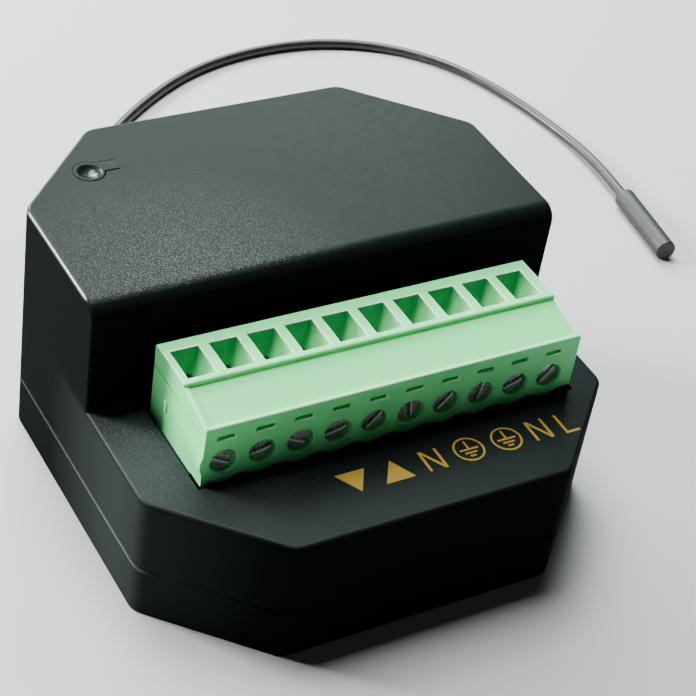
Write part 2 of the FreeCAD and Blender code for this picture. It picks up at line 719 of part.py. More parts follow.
def make_plug_body():
    body = new_body("terminal_plug")
    # Side profile, drawn across the row: first sketch axis is +Y, second is +Z
    side = sketch(body, "plug_profile", "YZ_Plane", raised="plug_left")
    outline(side, [
        ("plug_back", "shelf_height"),
        ("plug_back", "plug_top"),
        ("step_place", "plug_top"),
        ("step_place", "plug_top - strip_drop"),
        ("strip_rim - plug_front", "plug_top - strip_fall"),
        ("-plug_front", "plug_top - strip_fall"),
        ("-plug_front", "shelf_height"),
    ])
    pad(body, "plug_block", side, "plug_right - plug_left")
    plate = sketch(body, "plate_outline", "XZ_Plane", raised="plug_front - plate_thickness")
    rectangle(plate, ("plug_left", "plug_right + plate_overhang"), ("shelf_height", "plug_top - strip_fall"))
    pad(body, "front_plate", plate, "plate_thickness")
    rim = sketch(body, "rim_outline", "XZ_Plane", raised="plug_front - strip_rim")
    rectangle(
        rim,
        ("plug_left", "plug_right + plate_overhang"),
        ("plug_top - strip_fall - rim_rise", "plug_top - strip_fall + rim_rise"),
    )
    pad(body, "front_rim", rim, "strip_rim")
    end_rim = sketch(body, "end_rim_outline", "YZ_Plane", raised="plug_left")
    outline(end_rim, [
        ("step_place", "plug_top - strip_drop - strip_fall"),
        ("step_place", "plug_top - strip_drop + rim_rise"),
        ("-plug_front", "plug_top - strip_fall + rim_rise"),
        ("-plug_front", "plug_top - strip_drop - strip_fall"),
    ])
    pad(body, "end_rim", end_rim, "strip_rim")
    lower = sketch(body, "insert_outline", raised="insert_bottom")
    rectangle(lower, ("insert_left", "insert_right"), ("insert_front", "insert_front + insert_depth"))
    pad(body, "insert", lower, "insert_drop")
    nub = sketch(body, "nub_outline", "YZ_Plane", raised="plug_left - nub_rise")
    middle = "(step_place + plug_back) / 2"
    rectangle(
        nub,
        (f"{middle} - nub_size / 2", f"{middle} + nub_size / 2"),
        ("screw_axis", "screw_axis + nub_height"),
    )
    pad(body, "end_nub", nub, "nub_rise")
    top = size["shelf_height"] + size["plug_rise"]

    def crown(edge):
        box = edge.BoundBox
        return level_at(edge, top) and box.YLength < NEAR and box.XLength > size["way_pitch"]

    dress(body, "Fillet", "plug_crown", crown, "crown_round")
    groove = sketch(body, "groove_outline", "YZ_Plane", raised="plug_left")
    rectangle(
        groove,
        ("plate_thickness - plug_front", "plug_back"),
        ("plug_top - part_line", "plug_top - part_line + part_groove"),
    )
    pocket(body, "part_groove_cut", groove, "part_groove", Reversed=True)
    make_lobes(body)
    make_way_cuts(body)
    return body


def make_lobes(body):
    """The front plate's lower edge: raised between round lobes that follow the screws."""
    edge = sketch(body, "plate_edge_outline", "XZ_Plane", raised="plug_front")
    rectangle(
        edge,
        ("plug_left + plate_rib", "plug_right + plate_overhang"),
        ("shelf_height", "shelf_height + plate_lift"),
    )
    pocket(body, "plate_edge", edge, "plate_thickness")
    lobe = sketch(body, "lobe_outline", "XZ_Plane", raised="plug_front - plate_thickness")
    circle(lobe, "first_way", "screw_axis", "2 * lobe_radius")
    first = pad(body, "lobe", lobe, "plate_thickness")
    row_of_ways(body, "lobes", [first], lobe)


def make_way_cuts(body):
    """What every terminal takes out of the plug."""
    half = "(entry_width / 2)"
    entry = sketch(body, "entry_outline", raised="plug_top")
    rectangle(
        entry,
        (f"first_way - {half}", f"first_way + {half}"),
        ("entry_back - entry_depth", "entry_back"),
    )
    entry_cut = pocket(body, "entry", entry, "plug_top - chamber_bottom - chamber_height / 2")
    room = sketch(body, "chamber_outline", raised="chamber_bottom")
    rectangle(
        room,
        ("first_way - chamber_width / 2", "first_way + chamber_width / 2"),
        ("chamber_front", "chamber_back"),
    )
    room_cut = pocket(body, "chamber", room, "chamber_height", Reversed=True)
    bore = sketch(body, "bore_outline", "XZ_Plane", raised="plug_front")
    circle(bore, "first_way", "screw_axis", "bore_width")
    bore_cut = pocket(body, "bore", bore, "plug_front + chamber_front + chamber_gap")
    mouth = sketch(body, "mouth_outline", "XZ_Plane", raised="plug_front")
    circle(mouth, "first_way", "screw_axis", "bore_width + 2 * bore_mouth")
    mouth_cut = pocket(body, "mouth", mouth, "bore_mouth")
    slot = sketch(body, "test_slot_outline", "XZ_Plane", raised="plug_front")
    rectangle(
        slot,
        ("first_way - test_slot_width / 2", "first_way + test_slot_width / 2"),
        ("test_slot_middle - test_slot_height / 2", "test_slot_middle + test_slot_height / 2"),
    )
    slot_cut = pocket(body, "test_slot", slot, "test_slot_depth")
    fork = sketch(body, "fork_room_outline", raised="insert_bottom")
    reach = "(fork_half + fork_thickness + fork_room)"
    rectangle(
        fork,
        ("first_way - bar_width / 2 - chamber_gap", "first_way + bar_width / 2 + chamber_gap"),
        (f"bar_middle - {reach}", f"bar_middle + {reach}"),
    )
    fork_cut = pocket(body, "fork_room_cut", fork, "chamber_bottom - insert_bottom", Reversed=True)
    cuts = [entry_cut, room_cut, bore_cut, mouth_cut, slot_cut, fork_cut]
    row_of_ways(body, "terminals", cuts, entry)


def make_plug_contacts():
    """A clamp bar in each cage, with a fork below it that grips a header pin."""
    solids = []
    for number, middle in ways():
        wide = (f"{middle} - bar_width / 2", f"{middle} + bar_width / 2")
        bridge = "(chamber_bottom - bridge_height)"
        bar = span(
            f"bar_{number:02d}",
            wide,
            ("bar_front", "bar_back"),
            (bridge, "cage_bottom + cage_height"),
        )
        outer = "(fork_half + fork_thickness)"
        yoke = span(
            f"yoke_{number:02d}",
            wide,
            (f"bar_middle - {outer}", f"bar_middle + {outer}"),
            (f"{bridge} - bridge_height", bridge),
        )
        leaves = [
            span(
                f"leaf_{side}_{number:02d}",
                wide,
                (f"bar_middle {low}", f"bar_middle {high}"),
                ("fork_bottom", bridge),
            )
            for side, low, high in (
                ("front", f"- {outer}", "- fork_half"),
                ("back", "+ fork_half", f"+ {outer}"),
            )
        ]
        solids.append(fuse(f"contact_{number:02d}", bar, yoke, *leaves))
    return group("plug_contacts", solids)


def make_terminal_screw(number, middle):
    name = f"terminal_screw_{number:02d}"
    head = rod(f"{name}_head", "head_width", "head_height", (middle, "head_face", "screw_axis"), ALONG_BACK)
    length = "bar_front - tip_gap - head_back"
    shank = rod(f"{name}_shank", "shank_width", length, (middle, "head_back", "screw_axis"), ALONG_BACK)
    whole = fuse(f"{name}_whole", head, shank)
    slot = span(
        f"{name}_slot",
        (f"{middle} - head_width", f"{middle} + head_width"),
        ("head_face - slot_depth", "head_face + slot_depth"),
        ("screw_axis - slot_width / 2", "screw_axis + slot_width / 2"),
    )
    return cut(name, whole, slot)


def make_clamp_cage(number, middle):
    name = f"clamp_cage_{number:02d}"
    ring = span(
        f"{name}_ring",
        (f"{middle} - cage_width / 2", f"{middle} + cage_width / 2"),
        ("cage_front", "-cage_back"),
        ("cage_bottom", "cage_bottom + cage_height"),
    )
    window = span(
        f"{name}_window",
        (f"{middle} - cage_width / 2 + cage_side", f"{middle} + cage_width / 2 - cage_side"),
        ("cage_front + cage_wall", "-cage_back - cage_wall"),
        ("cage_bottom - cage_side", "cage_bottom + cage_height + cage_side"),
    )
    thread = rod(
        f"{name}_thread",
        "shank_width + 2 * thread_gap",
        "cage_wall * 2",
        (middle, "cage_front - cage_wall / 2", "screw_axis"),
        ALONG_BACK,
    )
    return cut(name, ring, window, thread)


# The header and the circuit board

def make_pin_header():
    outer = span(
        "header_block",
        ("header_left", "header_right"),
        ("header_front", "header_front + header_depth"),
        ("board_top", "shelf_height"),
    )
    room = span(
        "header_room",
        ("header_left + header_wall", "header_right - header_wall"),
        ("header_front + header_wall", "header_front + header_depth - header_wall"),
        ("board_top + header_floor", "shelf_height + header_wall"),
    )
    holes = [pin_post(f"header_hole_{number:02d}", middle, "0") for number, middle in ways()]
    return cut("header_housing", outer, room, group("header_holes", holes))


def pin_post(name, middle, gap):
    """A header pin, or with a gap the room round it."""
    half = f"(pin_width / 2 + ({gap}))"
    return span(
        name,
        (f"{middle} - {half}", f"{middle} + {half}"),
        (f"bar_middle - {half}", f"bar_middle + {half}"),
        ("pin_bottom", "pin_top"),
    )


def make_header_pins():
    return group("header_pins", [pin_post(f"pin_{number:02d}", middle, "0") for number, middle in ways()])


def make_circuit_board():
    body = new_body("circuit_board")
    sheet_outline = octagon(sketch(body, "board_outline", raised="board_bottom"), "board_inset")
    pad(body, "board_sheet", sheet_outline, "board_thickness")
    notch = sketch(body, "board_notch_outline", raised="board_top")
    half = "(grommet_flange / 2 + board_gap)"
    rectangle(
        notch,
        (f"exit_x - {half}", f"exit_x + {half}"),
        ("half_depth - wall - grommet_flange_wall - board_gap", "half_depth"),
    )
    pocket(body, "board_notch", notch, "board_thickness")
    hole = sketch(body, "pin_hole_outline", raised="board_top")
    reach = "(pin_width / 2 + pin_hole_gap)"
    rectangle(
        hole,
        (f"first_way - {reach}", f"first_way + {reach}"),
        (f"bar_middle - {reach}", f"bar_middle + {reach}"),
    )
    first = pocket(body, "pin_hole", hole, "board_thickness")
    row_of_ways(body, "pin_holes", [first], hole)
    return body


# Components on the board

def standing(name, x, y, length, depth, height):
    """A block that stands on the board, centred on x and y."""
    return block(
        name,
        (f"{x} - ({length}) / 2", f"{y} - ({depth}) / 2", "board_top"),
        (length, depth, height),
    )


def make_relays():
    return [
        standing("relay_front", "relay_x", "relay_y", "relay_length", "relay_depth", "relay_height"),
        standing("relay_back", "relay_x", "relay_back_y", "relay_length", "relay_depth", "relay_height"),
    ]


def make_transformer():
    core = standing("core_block", "core_x", "core_y", "core_length", "core_depth", "core_height")
    windows = [
        span(
            f"core_window_{side}",
            (low, high),
            ("core_y - core_depth", "core_y + core_depth"),
            ("board_top + core_leg", "board_top + core_height - core_leg"),
        )
        for side, low, high in (
            ("left", "core_x - core_length / 2 + core_leg / 2", "core_x - core_leg / 2"),
            ("right", "core_x + core_leg / 2", "core_x + core_length / 2 - core_leg / 2"),
        )
    ]
    reach = "(core_depth / 2 + winding_proud)"
    coil = span(
        "winding_block",
        ("core_x - core_length / 2 + core_leg / 2 + winding_gap",
         "core_x + core_length / 2 - core_leg / 2 - winding_gap"),
        (f"core_y - {reach}", f"core_y + {reach}"),
        ("board_top + core_leg + winding_gap", "board_top + core_height - core_leg - winding_gap"),
    )
    leg = span(
        "winding_hole",
        ("core_x - core_leg / 2 - winding_gap", "core_x + core_leg / 2 + winding_gap"),
        ("core_y - core_depth / 2 - winding_gap", "core_y + core_depth / 2 + winding_gap"),
        ("board_top", "board_top + core_height"),
    )
    return [cut("transformer_core", core, *windows), cut("transformer_winding", coil, leg)]


def make_capacitors():
    film = standing("filter_capacitor", "film_x", "front_row_y", "film_length", "film_depth", "film_height")
    can = rod("smoothing_capacitor", "can_width", "can_height", ("can_x", "can_y", "board_top"))
    return [film, can]


def make_protection():
    fuse_pot = rod("fuse", "fuse_width", "fuse_height", ("fuse_x", "front_row_y", "board_top"))
    disc = rod(
        "varistor",
        "varistor_width",
        "varistor_thickness",
        ("varistor_x", "front_row_y - varistor_thickness / 2", "board_top + varistor_width / 2"),
        ALONG_BACK,
    )
    return [fuse_pot, disc]


def make_radio():
    card = block(
        "radio_board",
        ("radio_x - radio_length / 2", "radio_y - radio_thickness", "board_top"),
        ("radio_length", "radio_thickness", "radio_height"),
    )
    crystal = block(
        "radio_crystal",
        (
            "radio_x - crystal_length / 2",
            "radio_y",
            "board_top + radio_height - crystal_height - radio_thickness",
        ),
        ("crystal_length", "crystal_thickness", "crystal_height"),
    )
    chip = standing("microcontroller", "chip_x", "chip_y", "chip_length", "chip_depth", "chip_height")
    return [card, crystal, chip]


# The antenna

def antenna_route():
    """Corner points of the wire outside the case, chosen by hand along the photographed curve."""
    start = size["case_depth"] / 2 + size["grommet_reach"]
    seam = size["seam_height"]
    low = size["wire_width"] / 2
    cap = size["cap_width"] / 2
    exit_x = size["exit_x"]
    return [
        Vector(exit_x, start, seam),
        Vector(exit_x, 30.6, seam),
        Vector(-8.7, 35.1, 3.3),
        Vector(-7.6, 40.4, low),
        Vector(-4.0, 47.9, low),
        Vector(2.3, 55.0, low),
        Vector(10.0, 61.4, low),
        Vector(19.0, 66.7, low),
        Vector(28.5, 69.0, low),
        Vector(38.0, 68.7, low),
        Vector(46.8, 65.1, low),
        Vector(53.1, 58.5, low),
        Vector(56.7, 49.6, low),
        Vector(58.6, 40.2, low),
        Vector(58.65, 31.8, cap),
        Vector(57.7, 24.9, cap),
    ]


def lead_route():
    """Corner points of the wire inside the case, from the radio board to the grommet."""
    seam = size["seam_height"]
    inner = size["case_depth"] / 2 - size["wall"] - size["grommet_flange_wall"]
    beside = size["radio_y"] + size["wire_width"] / 2
    exit_x = size["exit_x"]
    bend = 2.05
    return [
        Vector(exit_x + 11.6, beside, seam + 4.0),
        Vector(exit_x + 6.8, beside + 0.05, seam + 1.9),
        Vector(exit_x + bend, beside, seam),
        Vector(exit_x, beside + bend, seam),
        Vector(exit_x, inner, seam),
    ]


def run_path(points):
    """Straight runs joined by tangent arcs; returns the wire, its length and its radii."""
    edges = []
    radii = []
    last = points[0]
    for before, corner, after in zip(points, points[1:], points[2:]):
        back = (before - corner).normalize()
        onward = (after - corner).normalize()
        half_turn = (math.pi - back.getAngle(onward)) / 2
        shorter = min((before - corner).Length, (after - corner).Length)
        trim = BEND_SHARE * shorter
        radius = trim / math.tan(half_turn)
        radii.append(radius)
        enter = corner + back * trim
        leave = corner + onward * trim
        bow = (back + onward).normalize()
        middle = corner + bow * (radius / math.cos(half_turn) - radius)
        edges.append(Part.LineSegment(last, enter).toShape())
        edges.append(Part.Arc(enter, middle, leave).toShape())
        last = leave
    edges.append(Part.LineSegment(last, points[-1]).toShape())
    return Part.Wire(edges), sum(edge.Length for edge in edges), radii


def tube(name, points, width):
    path, length, radii = run_path(points)
    heading = points[1] - points[0]
    ring = Part.Wire([Part.makeCircle(width / 2, points[0], heading)])
    sweep = path.makePipeShell([ring], True, False)
    section = math.pi * width * width / 4
    share = sweep.Volume / (section * length)
    rounded = [round(radius, 1) for radius in radii]
    print(f"{name}: length {length:.1f} mm, volume over section x length {share:.4f}, radii {rounded}")
    item = doc.addObject("Part::Feature", name)
    item.Shape = sweep
    item.Placement = Placement()
    return item


def make_antenna():
    wire = tube("antenna_wire", antenna_route(), size["wire_width"])
    before, end = antenna_route()[-2:]
    heading = (end - before).normalize()
    cap = Part.makeCylinder(size["cap_width"] / 2, size["cap_length"], end, heading)
    cap = cap.makeFillet(size["cap_round"], [edge for edge in cap.Edges if edge.Closed])
    item = doc.addObject("Part::Feature", "antenna_cap")
    item.Shape = cap
    item.Placement = Placement()
    return [wire, item]


def make_grommet():
    neck_start = "half_depth - wall"
    neck = rod("grommet_through", "grommet_neck", "wall", ("exit_x", neck_start, "seam_height"), ALONG_BACK)
    flange = rod(
        "grommet_flange_disc",
        "grommet_flange",
        "grommet_flange_wall",
        ("exit_x", "half_depth - wall - grommet_flange_wall", "seam_height"),
        ALONG_BACK,
    )
    boot = cone(
        "grommet_boot_cone",
        "grommet_boot",
        "grommet_tip",
        "grommet_reach",
        ("exit_x", "half_depth", "seam_height"),
        ALONG_BACK,
    )
    return fuse("antenna_grommet", neck, flange, boot)


def make_antenna_lead():
    return tube("antenna_lead", lead_route(), size["wire_width"])


def make_terminals():
    pieces = []
    for number, middle in ways():
        pieces.append(make_terminal_screw(number, middle))
        pieces.append(make_clamp_cage(number, middle))
    return pieces


def make_parts():
    parts = [make_upper_cover(), make_lower_shell(), make_program_button(), make_push_rod()]
    parts += make_switch()
    parts += [make_plug_body(), make_plug_contacts()]
    parts += make_terminals()
    parts += [make_pin_header(), make_header_pins(), make_circuit_board()]
    parts += make_relays() + make_transformer() + make_capacitors() + make_protection()
    parts += make_radio()
    parts += make_antenna() + [make_grommet(), make_antenna_lead()]
    return parts


def check(parts):
    """Stops before anything is written if an object failed or a shape is not sound."""
    doc.recompute()
    for item in doc.Objects:
        if "Invalid" in item.State or "Error" in item.State:
            raise RuntimeError(f"{item.Label} failed: {item.State}")
    for item in parts:
        if item.Shape.isNull() or not item.Shape.isValid() or not item.Shape.Solids:
            raise RuntimeError(f"{item.Label} has no sound shape")


pieces = make_parts()
check(pieces)
os.makedirs("parts", exist_ok=True)
for piece in pieces:
    piece.Shape.exportStep(f"parts/{piece.Label}.step")
print(len(pieces), "nodes,", sum(len(piece.Shape.Solids) for piece in pieces), "solids")
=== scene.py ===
import math

import bmesh
import bpy
import numpy as np
from bpy.props import FloatProperty, FloatVectorProperty, PointerProperty
from bpy.types import Operator, Panel, PropertyGroup
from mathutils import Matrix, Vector


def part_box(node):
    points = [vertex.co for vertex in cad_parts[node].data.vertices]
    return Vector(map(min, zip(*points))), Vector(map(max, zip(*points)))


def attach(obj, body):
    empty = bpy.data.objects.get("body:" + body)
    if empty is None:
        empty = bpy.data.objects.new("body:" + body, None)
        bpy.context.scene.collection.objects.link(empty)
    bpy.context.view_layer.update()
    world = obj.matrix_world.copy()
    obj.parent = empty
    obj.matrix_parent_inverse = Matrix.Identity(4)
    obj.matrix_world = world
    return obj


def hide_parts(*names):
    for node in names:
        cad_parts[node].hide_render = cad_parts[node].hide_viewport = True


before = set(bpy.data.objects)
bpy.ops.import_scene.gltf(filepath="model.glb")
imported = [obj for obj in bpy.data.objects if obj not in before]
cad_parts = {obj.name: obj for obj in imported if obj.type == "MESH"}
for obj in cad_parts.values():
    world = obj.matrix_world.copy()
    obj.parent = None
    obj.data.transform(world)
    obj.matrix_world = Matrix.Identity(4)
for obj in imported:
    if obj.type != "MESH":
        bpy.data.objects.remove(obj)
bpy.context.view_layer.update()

bl_info = {
    "name": "Radio receiver module",
    "version": (1, 0, 0),
    "blender": (4, 5, 0),
    "location": "View3D > Sidebar > Receiver",
    "description": "Finishes and fine pieces of a flush-box radio receiver with a ten-way plug",
    "category": "Add Mesh",
}

# All lengths in this file are metres, and MM turns a size in millimetres into them
MM = 0.001
WAYS = range(1, 11)

# Height of the shelf in front of the plug, as in the part's source
SHELF = 13.6 * MM

# Points that are closer than this are one point
MERGE = 0.0005 * MM


def way_name(stem, way):
    """Name of the node, body or piece of one of the ten ways."""
    return f"{stem}_{way:02d}"


def far_side(node, axis):
    """The highest coordinate of a node of the frame along one axis."""
    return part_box(node)[1]["xyz".index(axis)]


def screw_face(way):
    """The middle of a terminal screw's front, and the radius of its head."""
    low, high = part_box(way_name("terminal_screw", way))
    return Vector(((low.x + high.x) / 2, low.y, (low.z + high.z) / 2)), (high.z - low.z) / 2


# Settings that a user would change

class ReceiverSizes(PropertyGroup):
    """Sizes of the fine pieces, where the frame doesn't give them."""

    edge_softness: FloatProperty(
        name="Edge softness", default=0.1 * MM, unit="LENGTH",
        description="Rounding of the terminal plug's outer edges")
    slot_width: FloatProperty(
        name="Screw slot", default=0.5 * MM, unit="LENGTH",
        description="Width of the slot in each screw's head")
    slot_depth: FloatProperty(
        name="Slot depth", default=0.45 * MM, unit="LENGTH",
        description="Depth of the slot in each screw's head")
    head_rise: FloatProperty(
        name="Head crown", default=0.1 * MM, unit="LENGTH",
        description="How far the middle of a screw's head stands over its rim")
    thread_pitch: FloatProperty(
        name="Thread pitch", default=0.4 * MM, unit="LENGTH",
        description="Pitch of the terminal screws' thread")
    dish_width: FloatProperty(
        name="Button dish", default=2.3 * MM, unit="LENGTH",
        description="Width of the round dish in the button's pad")
    dish_depth: FloatProperty(
        name="Dish depth", default=0.42 * MM, unit="LENGTH",
        description="Depth of the round dish in the button's pad")
    tongue_upper: FloatProperty(
        name="Tongue's back side", default=1.19 * MM, unit="LENGTH",
        description="From the pad's middle line to the tongue's back side")
    tongue_lower: FloatProperty(
        name="Tongue's front side", default=0.25 * MM, unit="LENGTH",
        description="From the pad's middle line to the tongue's front side")
    funnel_lead: FloatProperty(
        name="Funnel lead-in", default=0.5 * MM, unit="LENGTH",
        description="How far each side of a wire funnel draws in towards its bottom")
    print_height: FloatProperty(
        name="Mark height", default=2.62 * MM, unit="LENGTH",
        description="Height of the printed letters")
    print_line: FloatProperty(
        name="Mark line", default=0.27 * MM, unit="LENGTH",
        description="Line width of the printed letters")
    print_lift: FloatProperty(
        name="Mark thickness", default=0.012 * MM, unit="LENGTH",
        description="Thickness of the printed ink")
    wire_width: FloatProperty(
        name="Antenna wire", default=1.2 * MM, unit="LENGTH",
        description="Outer diameter of the antenna wire")


class ReceiverColours(PropertyGroup):
    """Main colours, as linear values."""

    case: FloatVectorProperty(
        name="Case", default=(0.0048, 0.0085, 0.0077), subtype="COLOR", min=0, max=1,
        description="Black plastic of the two shells and the button")
    terminal: FloatVectorProperty(
        name="Terminal plug", default=(0.165, 0.84, 0.29), subtype="COLOR", min=0, max=1,
        description="Light green plastic of the plug")
    # Painted highlight colour of the plug's rounded edges
    edge: FloatVectorProperty(
        name="Plug edges", default=(0.55, 0.95, 0.61), subtype="COLOR", min=0, max=1,
        description="Painted highlight of the plug's rounded edges")
    # Painted shade: the darker green at the back of the wire entries
    entry: FloatVectorProperty(
        name="Wire entries", default=(0.045, 0.34, 0.15), subtype="COLOR", min=0, max=1,
        description="Deep green at the back of the wire entries")
    ink: FloatVectorProperty(
        name="Marks", default=(0.29, 0.178, 0.008), subtype="COLOR", min=0, max=1,
        description="Gold ink of the terminal marks")
    jacket: FloatVectorProperty(
        name="Antenna", default=(0.012, 0.013, 0.014), subtype="COLOR", min=0, max=1,
        description="Black jacket of the antenna wire")
    steel: FloatVectorProperty(
        name="Screws", default=(0.42, 0.50, 0.47), subtype="COLOR", min=0, max=1,
        description="Plated steel of the terminal screws")
    floor: FloatVectorProperty(
        name="Floor", default=(0.50, 0.505, 0.505), subtype="COLOR", min=0, max=1,
        description="Pale floor")


class StageSettings(PropertyGroup):
    """Camera and light."""

    camera_place: FloatVectorProperty(
        name="Camera place", default=(-82.696 * MM, -125.268 * MM, 134.425 * MM), size=3,
        subtype="TRANSLATION", unit="LENGTH", precision=5,
        description="Where the camera stands")
    camera_turn: FloatVectorProperty(
        name="Camera turn", size=3, subtype="EULER", unit="ROTATION",
        default=(math.radians(50.7904), math.radians(-7.6078), math.radians(-28.5649)),
        description="How the camera is turned")
    camera_lens: FloatProperty(
        name="Lens", default=103.428, unit="CAMERA",
        description="Focal length on a 36 mm sensor")
    sky: FloatProperty(
        name="Room light", default=0.012, min=0,
        description="Strength of the even light from all round")
    floor_size: FloatProperty(
        name="Floor size", default=3.0, unit="LENGTH",
        description="Width of the floor")


def sizes():
    """The sizes that the scene is set to."""
    return bpy.context.scene.receiver_sizes


def colours():
    """The colours that the scene is set to."""
    return bpy.context.scene.receiver_colours


# Surfaces from whole arrays

def grid_quads(rings, points):
    """Corner numbers of the quads between neighbouring rings, stored one after the other."""
    ring = np.arange(rings - 1)[:, None] * points
    point = np.arange(points)[None, :]
    beside = (point + 1) % points
    corners = [ring + point, ring + beside, ring + points + beside, ring + points + point]
    return np.stack(np.broadcast_arrays(*corners), -1).reshape(-1, 4)


def rings_shell(rings):
    """Points and faces of a closed shell through rings, an array of rings, points and coordinates.

    Neighbouring rings are joined by quads, and the first and last are closed by one face each.
    """
    count, points = rings.shape[:2]
    around = np.arange(points)[None, :]
    caps = [around[:, ::-1], around + (count - 1) * points]
    return rings.reshape(-1, 3), [grid_quads(count, points), *caps]


def hollow_shell(rings):
    """Points and faces of a shell whose last ring is its first one again."""
    return rings.reshape(-1, 3), [grid_quads(*rings.shape[:2])]


def turned(profile, start, heading):
    """A lathe shell: each pair of the profile is a distance along the heading and a radius."""
    sides = 48
    along, radius = np.array(profile, float).T
    axis = np.array(heading, float) / np.linalg.norm(heading)
    aside = np.cross(axis, (0, 0, 1) if abs(axis[2]) < 0.9 else (1, 0, 0))
    aside /= np.linalg.norm(aside)
    across = np.cross(axis, aside)
    turn = np.linspace(0, 2 * np.pi, sides, endpoint=False)
    ring = np.cos(turn)[:, None] * aside + np.sin(turn)[:, None] * across
    rings = np.array(start) + along[:, None, None] * axis + radius[:, None, None] * ring
    return rings_shell(rings)


def rounding(radius, start, end):
    """Offsets from a corner's centre along a round, between two angles in degrees."""
    turn = np.radians(np.linspace(start, end, 5))
    return radius * np.cos(turn), radius * np.sin(turn)


def build(name, shells, material, body, replaces=(), sharp=35):
    """One piece from closed shells: doubles merged, faces outwards, flat where it is sharp."""
    points, faces, first = [], [], 0
    for shell_points, blocks in shells:
        points.append(shell_points)
        for block in blocks:
            faces += (block + first).tolist()
        first += len(shell_points)
    mesh = bpy.data.meshes.new(name)
    mesh.from_pydata(np.concatenate(points).tolist(), [], faces)
    clean(mesh)
    return put(name, mesh, material, body, replaces, sharp)


def clean(mesh):
    """Merges doubles, drops faces without area and turns the rest outwards."""
    work = bmesh.new()
    work.from_mesh(mesh)
    bmesh.ops.remove_doubles(work, verts=work.verts, dist=MERGE)
    bmesh.ops.dissolve_degenerate(work, edges=work.edges, dist=MERGE)
    bmesh.ops.recalc_face_normals(work, faces=work.faces)
    work.to_mesh(mesh)
    work.free()


def second_material(mesh, place, reach, depth, least, most):
    """Gives the second material to some of the faces round a place on a screw's axis.

    Their middles are less than reach away from the axis and less than depth from the place along
    it, and the share of their normal that lies along the axis is between least and most.
    """
    count = len(mesh.polygons)
    normals, middles = np.empty(count * 3), np.empty(count * 3)
    index = np.empty(count, np.int32)
    mesh.polygons.foreach_get("normal", normals)
    mesh.polygons.foreach_get("center", middles)
    mesh.polygons.foreach_get("material_index", index)
    share = np.abs(normals.reshape(-1, 3)[:, 1])
    apart = middles.reshape(-1, 3) - place
    near = (np.hypot(apart[:, 0], apart[:, 2]) < reach) & (np.abs(apart[:, 1]) < depth)
    index[near & (share > least) & (share < most)] = 1
    mesh.polygons.foreach_set("material_index", index)


def put(name, mesh, material, body, replaces=(), sharp=35):
    """Links a finished mesh as a piece of the object."""
    mesh.materials.clear()
    mesh.materials.append(material)
    mesh.shade_smooth()
    mesh.set_sharp_from_angle(angle=math.radians(sharp))
    piece = bpy.data.objects.new(name, mesh)
    bpy.context.scene.collection.objects.link(piece)
    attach(piece, body)
    if replaces:
        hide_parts(*replaces)
    return piece


# Materials

def add(tree, kind, settings=None, **inputs):
    """A node with its settings and inputs; an input that is a socket is linked."""
    made = tree.nodes.new("ShaderNode" + kind)
    for name, value in (settings or {}).items():
        setattr(made, name, value)
    for name, value in inputs.items():
        feed(tree, made.inputs[name.replace("_", " ")], value)
    return made


def feed(tree, socket, value):
    """Links a socket to an output, or gives it a constant in place of its link."""
    if isinstance(value, bpy.types.NodeSocket):
        tree.links.new(value, socket)
        return
    for link in list(socket.links):
        tree.links.remove(link)
    socket.default_value = value


def paint(tree, **inputs):
    """Gives inputs of the tree's shader an output or a constant."""
    shader = tree.nodes["Principled BSDF"]
    for name, value in inputs.items():
        feed(tree, shader.inputs[name.replace("_", " ")], value)


def relief(tree, height, depth, strength=1.0):
    """Makes the shader's surface rise by a depth, in metres, where the height goes from 0 to 1."""
    bump = add(tree, "Bump", Strength=strength, Distance=depth, Height=height)
    paint(tree, Normal=bump.outputs[0])


def times(tree, first, *others):
    """The product of two or more values."""
    for other in others:
        made = tree.nodes.new("ShaderNodeMath")
        made.operation = "MULTIPLY"
        feed(tree, made.inputs[0], first)
        feed(tree, made.inputs[1], other)
        first = made.outputs[0]
    return first


def between(tree, factor, first, second):
    """A colour between two colours."""
    made = tree.nodes.new("ShaderNodeMix")
    made.data_type = "RGBA"
    feed(tree, made.inputs["Factor"], factor)
    feed(tree, made.inputs[6], first)
    feed(tree, made.inputs[7], second)
    return made.outputs[2]


def spread(tree, value, low, high, to_low=0.0, to_high=1.0):
    """Stretches a range of values to another range, and stops at its ends."""
    made = add(tree, "MapRange", Value=value, From_Min=low, From_Max=high,
               To_Min=to_low, To_Max=to_high)
    return made.outputs[0]


def noise(tree, place, grain, detail=2.0, roughness=0.5, stretch=None):
    """Noise whose features are about one grain, in metres, across."""
    if stretch:
        place = add(tree, "Mapping", Vector=place, Scale=stretch).outputs[0]
    made = add(tree, "TexNoise", Vector=place, Scale=1 / grain, Detail=detail, Roughness=roughness)
    return made.outputs[0]


def from_upright(tree, place, x, y):
    """Distance in the plan from an upright line."""
    moved = add(tree, "Mapping", Vector=place, Location=(-x, -y, 0), Scale=(1, 1, 0))
    length = add(tree, "VectorMath", {"operation": "LENGTH"})
    feed(tree, length.inputs[0], moved.outputs[0])
    return length.outputs["Value"]


def shade(colour, by):
    """A colour made lighter or darker."""
    return tuple(min(1.0, channel * by) for channel in colour[:3]) + (1.0,)


def start_finish(slot, colour, roughness, **inputs):
    """A slot's new material: its node tree and its object coordinates."""
    material = bpy.data.materials.new(slot + "_finish")
    material.use_nodes = True
    tree = material.node_tree
    paint(tree, Base_Color=shade(colour, 1), Roughness=roughness, **inputs)
    return tree, add(tree, "TexCoord").outputs["Object"]


def moulded(slot, colour, roughness, grain, depth):
    """Moulded plastic: an even colour with faint patches, a fine grain and patchy gloss."""
    tree, place = start_finish(slot, colour, roughness)
    broad = noise(tree, place, 6 * MM, 3)
    paint(tree, Base_Color=between(tree, broad, shade(colour, 0.88), shade(colour, 1.12)),
          Roughness=spread(tree, broad, 0.3, 0.7, roughness - 0.05, roughness + 0.06))
    relief(tree, noise(tree, place, grain, 3, 0.6), depth)


